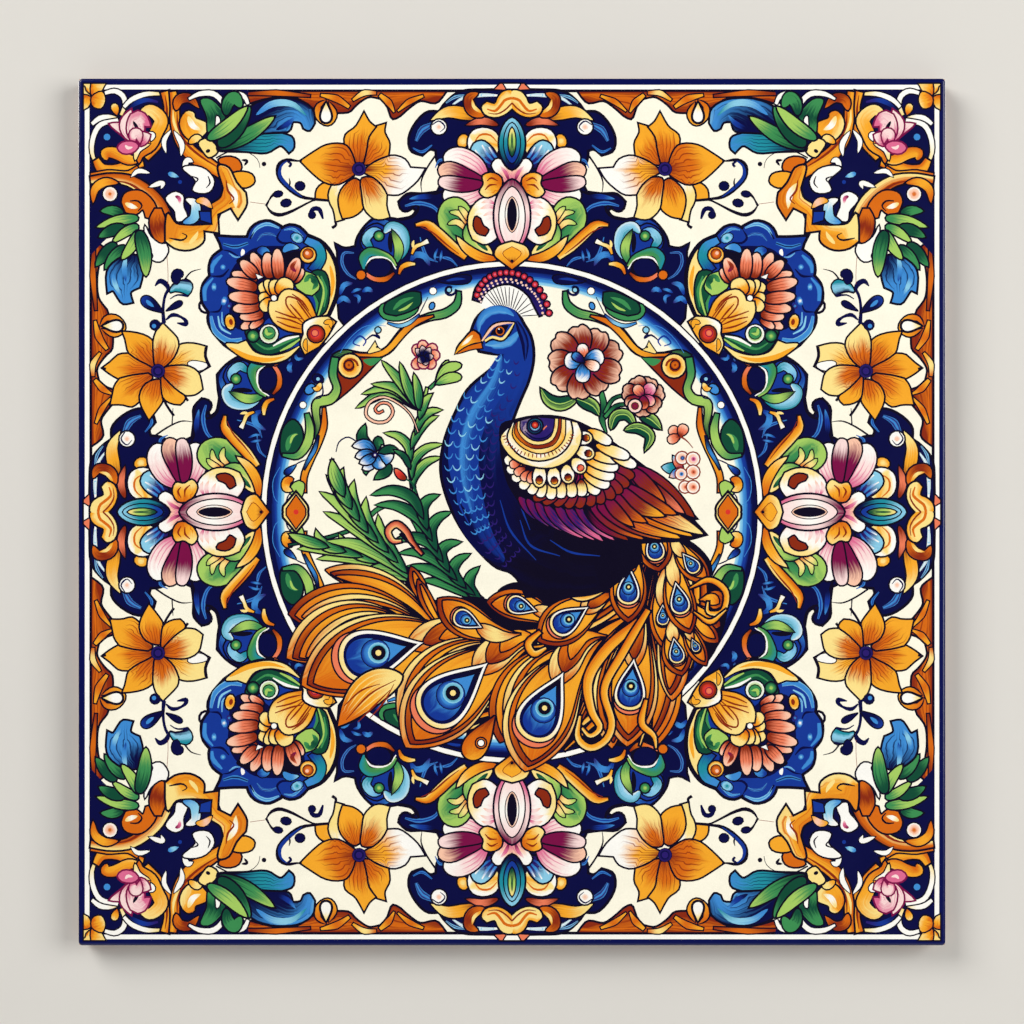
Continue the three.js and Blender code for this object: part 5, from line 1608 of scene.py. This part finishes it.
def clay_piece():
    """The clay body: a ribbed back as a height field y = -least(depth(x), depth(z)), a beveled foot, sides
    set just inside the glaze, and a flat front behind it."""
    sizes = bpy.context.scene.tile_sizes
    places, depths = pocket_profile(sizes)
    x, z = np.meshgrid(places, places, indexing="ij")
    depth = np.minimum(*np.meshgrid(depths, depths, indexing="ij"))
    n = len(places)
    back = np.stack([x, -depth, z], -1).reshape(-1, 3)
    index = np.arange(n * n).reshape(n, n)
    quads = np.stack([index[:-1, :-1], index[:-1, 1:], index[1:, 1:], index[1:, :-1]], -1).reshape(-1, 4)
    loop = np.concatenate([index[:-1, 0], index[-1, :-1], index[:0:-1, -1], index[0, :0:-1]])
    edge = back[loop]
    count = len(loop)
    side = HALF_SIDE - sizes.clay_inset
    rings = []
    for half, y in ((side, -sizes.foot), (side, -THICKNESS / 2), (side, -THICKNESS + 2.1 * sizes.glaze_coat)):
        scale = half / (HALF_SIDE - sizes.foot)
        rings.append(edge * [scale, 0, scale] + [0, y, 0])
    vertices = np.concatenate([back, *rings, [[0, rings[-1][0, 1], 0]]])
    first = n * n
    here = np.arange(count)
    ahead = np.roll(here, -1)
    rows = [loop, *(first + k * count + here for k in range(3))]
    bands = [np.stack([low, low[ahead], high[ahead], high], 1) for low, high in zip(rows, rows[1:])]
    cap = np.stack([rows[-1], rows[-1][ahead], np.full(count, len(vertices) - 1)], 1)
    four = np.concatenate([quads, *bands])
    faces = np.concatenate([four[:, [0, 1, 2]], four[:, [0, 2, 3]], cap])
    return mesh_object("clay_body", vertices, faces, smooth=False)


# Materials

class Socket:
    """A shader output that takes part in Python arithmetic: each operator adds one Math node."""

    def __init__(self, graph, output):
        self.graph = graph
        self.output = output

    def math(self, operation, first, second=None, clamp=False):
        values = {0: first} if second is None else {0: first, 1: second}
        return self.graph.node("ShaderNodeMath", values, operation=operation, use_clamp=clamp)

    def __add__(self, other):
        return self.math("ADD", self, other)

    __radd__ = __add__

    def __sub__(self, other):
        return self.math("SUBTRACT", self, other)

    def __rsub__(self, other):
        return self.math("SUBTRACT", other, self)

    def __mul__(self, other):
        return self.math("MULTIPLY", self, other)

    __rmul__ = __mul__

    def __pow__(self, other):
        return self.math("POWER", self, other)

    def __abs__(self):
        return self.math("ABSOLUTE", self)

    def wrapped(self):
        return self.math("FRACT", self)

    def between(self, low, high):
        """0 at low and 1 at high, with a smooth run between."""
        values = {"Value": self, "From Min": low, "From Max": high}
        return self.graph.node("ShaderNodeMapRange", values, interpolation_type="SMOOTHSTEP")


class Graph:
    """A material's nodes, and the one method that makes them."""

    def __init__(self, name):
        self.material = bpy.data.materials.new(name)
        self.material.use_nodes = True
        self.tree = self.material.node_tree
        self.shader = next(n for n in self.tree.nodes if n.type == "BSDF_PRINCIPLED")

    def node(self, kind, values=None, output=0, stops=None, **settings):
        """A new node: its settings first, then its sockets' values or links. Gives one of its outputs."""
        made = self.tree.nodes.new(kind)
        for name, value in settings.items():
            setattr(made, name, value)
        if stops:
            ramp = made.color_ramp
            for place, colour in stops[2:]:
                ramp.elements.new(place)
            for element, (place, colour) in zip(ramp.elements, stops):
                element.position, element.color = place, (*colour, 1)
        for name, value in (values or {}).items():
            self.put(made.inputs[name], value)
        return Socket(self, made.outputs[output])

    def put(self, socket, value):
        if isinstance(value, Socket):
            self.tree.links.new(value.output, socket)
        else:
            socket.default_value = value

    def set(self, **values):
        """Values or links for the shader's own sockets, with _ for a space in their names."""
        for name, value in values.items():
            self.put(self.shader.inputs[name.replace("_", " ").title().replace("Ior", "IOR")], value)

    def blend(self, factor, first, second, mode="MIX"):
        """A colour between two: the seventh and eighth inputs of Mix are its colours."""
        values = {0: factor, 6: first, 7: second}
        return self.node("ShaderNodeMix", values, output=2, data_type="RGBA", blend_type=mode)

    def noise(self, place, scale, detail=2.0, roughness=0.5):
        values = {"Vector": place, "Scale": scale, "Detail": detail, "Roughness": roughness}
        return self.node("ShaderNodeTexNoise", values)


def glaze_material():
    """Painted colours under a clear glaze: three tones mixed along each stroke, with brush streaks, hair
    veins, cloudy pigment and a slightly waved surface."""
    g = Graph("painted glaze")
    place = g.node("ShaderNodeTexCoord", output="Object")
    low, mid, high = (
        g.node("ShaderNodeAttribute", attribute_name=f"tone_{n}") for n in ("low", "mid", "high"))
    stroke = g.node("ShaderNodeAttribute", output="Vector", attribute_name="stroke")
    hairs = g.node("ShaderNodeAttribute", output="Vector", attribute_name="hairs")
    u, v, tone = (g.node("ShaderNodeSeparateXYZ", {0: stroke}, output=n) for n in range(3))
    veins, reach, seed = (g.node("ShaderNodeSeparateXYZ", {0: hairs}, output=n) for n in range(3))
    along = g.node("ShaderNodeCombineXYZ", {0: u * 1.6, 1: v * 4.5, 2: seed * 31})
    streak = g.noise(along, 1.0, 3.0, 0.6)
    level = tone * 1.08 - 0.1 + (streak - 0.5) * 0.6
    colour = g.blend(level.between(0.0, 0.5), low, mid)
    colour = g.blend(level.between(0.5, 1.0), colour, high)
    comb = abs((v * veins * 0.5 + 0.5).wrapped() - 0.5)
    ragged = g.noise(g.node("ShaderNodeCombineXYZ", {0: v * 7.0, 1: seed * 17}), 1.0)
    fade = 1 - (u + (ragged - 0.5) * 0.9).between(reach - 0.25, reach)
    hair = (1 - comb.between(0.04, 0.16)) * fade * veins.between(0.0, 1.0)
    colour = g.blend(hair * 0.85, colour, low)
    cloud = g.noise(place, 110.0, 4.0, 0.6)
    grain = g.noise(place, 1500.0, 2.0)
    wash = 1 + (cloud - 0.5) * 0.16 + (grain - 0.5) * 0.10
    colour = g.blend(1.0, colour, g.node("ShaderNodeCombineColor", {0: wash, 1: wash, 2: wash}), "MULTIPLY")
    swirl = g.noise(place, 32.0, 2.0)
    peel = g.noise(place, 420.0, 2.0)
    bump = g.node("ShaderNodeBump", {
        "Height": swirl * 0.6 + peel * 0.08, "Distance": 0.00022, "Strength": 0.6})
    g.set(base_color=colour, roughness=0.2 + (cloud - 0.5) * 0.12, normal=bump, specular_ior_level=0.35,
          coat_weight=0.12, coat_roughness=0.05)
    return g.material


def clay_material():
    """Fired earthenware: mottled terracotta with pale grog, dark specks, and small pores that are darkened in
    colour as painted shade.
    """
    g = Graph("bare clay")
    tints = bpy.context.scene.tile_paints
    place = g.node("ShaderNodeTexCoord", output="Object")
    cloud = g.noise(place, 28.0, 6.0, 0.6)
    speck = g.noise(place, 900.0, 2.0)
    pores = g.node("ShaderNodeTexVoronoi", {"Vector": place, "Scale": 420.0})
    colour = g.blend(cloud.between(0.3, 0.7), (*tints.clay, 1), (*tints.clay_pale, 1))
    colour = g.blend(speck.between(0.62, 0.72) * 0.6, colour, (*tints.clay_pale, 1))
    colour = g.blend((1 - speck.between(0.28, 0.36)) * 0.5, colour, (*tints.clay_dark_and_pore_shade, 1))
    # painted shade: the small pores are darkened towards the dark clay colour, as well as sunk in the bump
    # below
    pit = 1 - pores.between(0.05, 0.22)
    colour = g.blend(pit * 0.5, colour, (*tints.clay_dark_and_pore_shade, 1))
    height = cloud * 0.5 + speck * 0.25 - pit * 0.5
    bump = g.node("ShaderNodeBump", {"Height": height, "Distance": 0.0004, "Strength": 0.8})
    g.set(base_color=colour, roughness=0.85 + (cloud - 0.5) * 0.2, normal=bump)
    return g.material


def wall_material():
    """Pale plaster, seen from its front only, so that the tile's back can be looked at."""
    g = Graph("pale wall")
    tints = bpy.context.scene.tile_paints
    place = g.node("ShaderNodeTexCoord", output="Object")
    cloud = g.noise(place, 5.0, 4.0)
    shade = 0.97 + cloud * 0.06
    tint = g.node("ShaderNodeCombineColor", {0: shade, 1: shade, 2: shade})
    g.set(base_color=g.blend(1.0, (*tints.wall, 1), tint, "MULTIPLY"), roughness=0.9)
    behind = g.node("ShaderNodeNewGeometry", output="Backfacing")
    clear = g.node("ShaderNodeBsdfTransparent")
    mixed = g.node("ShaderNodeMixShader", {0: behind, 1: Socket(g, g.shader.outputs[0]), 2: clear})
    exit_node = next(n for n in g.tree.nodes if n.type == "OUTPUT_MATERIAL")
    g.put(exit_node.inputs["Surface"], mixed)
    return g.material


def floor_material():
    g = Graph("pale floor")
    place = g.node("ShaderNodeTexCoord", output="Object")
    cloud = g.noise(place, 3.0, 4.0)
    shade = 0.6 + cloud * 0.08
    g.set(base_color=g.node("ShaderNodeCombineColor", {0: shade, 1: shade, 2: shade * 0.98}), roughness=0.8)
    return g.material


def make_stage():
    """A pale wall just behind the tile and a pale floor well below it."""
    wall = mesh_object("wall", [[-2, 0.0004, -1], [2, 0.0004, -1], [2, 0.0004, 2], [-2, 0.0004, 2]],
                       [[0, 1, 2], [0, 2, 3]], smooth=False)
    wall.data.materials.append(wall_material())
    wall.visible_shadow = wall.visible_diffuse = wall.visible_glossy = False
    floor = mesh_object("floor", [[-4, -4, -1], [4, -4, -1], [4, 4, -1], [-4, 4, -1]],
                        [[0, 1, 2], [0, 2, 3]], smooth=False)
    floor.data.materials.append(floor_material())


def aim(made, place, target=(0, 0, 0)):
    made.location = place
    made.rotation_euler = (Vector(target) - Vector(place)).to_track_quat("-Z", "Y").to_euler()
    bpy.context.scene.collection.objects.link(made)


def make_light(name, place, size, watts):
    light = bpy.data.lights.new(name, "AREA")
    light.size, light.energy = size, watts
    aim(bpy.data.objects.new(name, light), place)


def make_camera():
    """Straight on to the tile's face, as far off as frames it as the photograph does."""
    sizes = bpy.context.scene.tile_sizes
    camera = bpy.data.cameras.new("camera")
    camera.lens, camera.sensor_width = 85, 36
    width = 2 * HALF_SIDE / sizes.frame_share
    distance = width * camera.lens / camera.sensor_width
    made = bpy.data.objects.new("camera", camera)
    aim(made, (0, -THICKNESS - distance, 0))
    bpy.context.scene.camera = made


def make_lights():
    """Two soft lights before the tile, well off its mirror direction, two behind it, and a pale surround."""
    make_light("key", (-1.3, -1.3, 1.2), 1.2, 37)
    make_light("fill", (1.4, -1.3, 0.3), 1.2, 26)
    make_light("back_left", (-1.2, 1.6, 0.9), 1.0, 22)
    make_light("back_right", (1.3, 1.5, 0.6), 1.0, 16)
    world = bpy.data.worlds.new("surround")
    world.use_nodes = True
    world.node_tree.nodes["Background"].inputs["Color"].default_value = (0.86, 0.9, 1.0, 1)
    world.node_tree.nodes["Background"].inputs["Strength"].default_value = 0.08
    bpy.context.scene.world = world
    bpy.context.scene.view_settings.view_transform = "Standard"


# The add-on

def hex_colour(text):
    """The scene's linear red, green and blue of a colour in hexadecimal."""
    parts = [int(text[i:i + 2], 16) / 255 for i in (0, 2, 4)]
    return tuple(p / 12.92 if p <= 0.04045 else ((p + 0.055) / 1.055) ** 2.4 for p in parts)


def tint(label, note, text):
    return bpy.props.FloatVectorProperty(
        name=label, description=note, subtype="COLOR", size=3, min=0, max=1, default=hex_colour(text))


def length(label, note, value):
    return bpy.props.FloatProperty(name=label, description=note, default=value, unit="LENGTH", precision=5)


class TilePaints(bpy.types.PropertyGroup):
    """The painter's colours and the body's."""

    ground: tint("Ground", "White tin glaze between the figures", "FEF8E2")
    cream: tint("Cream line", "Line round the border and the medallion", "FEFBF2")
    edge: tint("Edge", "Navy at the rim and down the sides", "030B4C")
    ink: tint("Ink", "Outlines", "0C061E")
    navy: tint("Navy", "Deepest cobalt", "060840")
    cobalt: tint("Cobalt", "Middle blue", "143692")
    azure: tint("Azure", "Light cobalt wash", "3E8AD0")
    sky: tint("Sky", "Palest blue", "8CCBE4")
    teal: tint("Teal", "Blue green", "1F8C9C")
    dark_green: tint("Dark green", "Leaf shadow", "0F4A34")
    green: tint("Green", "Leaf", "3C8C50")
    light_green: tint("Light green", "Leaf highlight", "A6CC62")
    red: tint("Red", "Jewels and berries", "D8342A")
    rust: tint("Rust", "Red brown", "8A2A10")
    orange: tint("Orange", "Deep orange", "D86A12")
    amber: tint("Amber", "Yellow orange", "F6A82A")
    butter: tint("Butter", "Light yellow", "FCE08A")
    wine: tint("Wine", "Burgundy", "7A0E44")
    rose: tint("Rose", "Pink", "DE6A90")
    blush: tint("Blush", "Palest pink", "FBDCD6")
    coral: tint("Coral", "Salmon", "EC7C58")
    shell: tint("Shell", "Pale salmon", "FBC6A8")
    violet: tint("Violet", "Dark violet", "2A1A6A")
    clay: tint("Clay", "Fired body", "B4693F")
    clay_pale: tint("Pale clay", "Lighter clay and grog", "CF9468")
    clay_dark_and_pore_shade: tint("Dark clay", "Specks and pores", "6E3A22")
    wall: tint("Wall", "Wall behind the tile", "DAD6CE")


PAINTS = [name for name in TilePaints.__annotations__ if not name.startswith(("clay", "wall"))]


class TileSizes(bpy.types.PropertyGroup):
    """Sizes that finish the tile inside the frame's box."""

    arris: length("Rolled edge", "Radius of the rounded edge round the face", 1.0 * MM)
    corner: length("Corner", "Radius of the four corners", 1.3 * MM)
    glaze_reach: length("Glaze reach", "How far the glaze runs down the sides", 6.6 * MM)
    glaze_coat: length("Glaze coat", "Thickness of the glaze at its lower edge", 0.35 * MM)
    glaze_wave: length("Glaze wave", "How far the glaze's lower edge wanders", 0.7 * MM)
    clay_inset: length("Clay inset", "How far the bare sides stand in from the glaze", 0.25 * MM)
    back_rim: length("Back rim", "Flat land round the back", 9 * MM)
    back_rib: length("Back rib", "Flat land between the keying pockets", 6 * MM)
    pocket_depth: length("Pocket depth", "Depth of the keying pockets", 1.5 * MM)
    pocket_draft: length("Pocket draft", "How far the pocket walls lean in", 0.6 * MM)
    foot: length("Foot bevel", "Bevel round the back", 0.8 * MM)
    pockets: bpy.props.IntProperty(name="Pockets", description="Keying pockets across the back", default=6)
    frame_share: bpy.props.FloatProperty(
        name="Share of the frame", description="The tile's width as a share of the picture's",
        default=867.5 / 1024, subtype="FACTOR")


class TILE_OT_glaze(bpy.types.Operator):
    """Draws the picture and builds the painted glaze"""

    bl_idname = "tile.glaze"
    bl_label = "Painted glaze"

    def execute(self, context):
        made = glaze_piece()
        made.data.materials.append(glaze_material())
        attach(made, "root")
        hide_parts("tile")
        return {"FINISHED"}


class TILE_OT_clay(bpy.types.Operator):
    """Builds the clay body with its ribbed back"""

    bl_idname = "tile.clay"
    bl_label = "Clay body"

    def execute(self, context):
        made = clay_piece()
        made.data.materials.append(clay_material())
        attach(made, "root")
        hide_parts("tile")
        return {"FINISHED"}


class TILE_OT_stage(bpy.types.Operator):
    """Sets up the wall, floor, camera and lights"""

    bl_idname = "tile.stage"
    bl_label = "Stage, camera and lights"

    def execute(self, context):
        make_stage()
        make_camera()
        make_lights()
        return {"FINISHED"}


class TILE_PT_panel(bpy.types.Panel):
    """The tile's steps, sizes and colours"""

    bl_idname = "TILE_PT_panel"
    bl_label = "Painted tile"
    bl_space_type = "VIEW_3D"
    bl_region_type = "UI"
    bl_category = "Tile"

    def draw(self, context):
        column = self.layout.column()
        for operator in OPERATORS:
            column.operator(operator.bl_idname)
        for group in (context.scene.tile_sizes, context.scene.tile_paints):
            for name in group.__annotations__:
                column.prop(group, name)


OPERATORS = (TILE_OT_stage, TILE_OT_glaze, TILE_OT_clay)
CLASSES = (TilePaints, TileSizes, *OPERATORS, TILE_PT_panel)


def register():
    for each in CLASSES:
        bpy.utils.register_class(each)
    bpy.types.Scene.tile_paints = bpy.props.PointerProperty(type=TilePaints)
    bpy.types.Scene.tile_sizes = bpy.props.PointerProperty(type=TileSizes)


def unregister():
    del bpy.types.Scene.tile_paints
    del bpy.types.Scene.tile_sizes
    for each in reversed(CLASSES):
        bpy.utils.unregister_class(each)


def main():
    register()
    bpy.ops.tile.stage()
    bpy.ops.tile.glaze()
    bpy.ops.tile.clay()


if __name__ == "__main__":
    main()
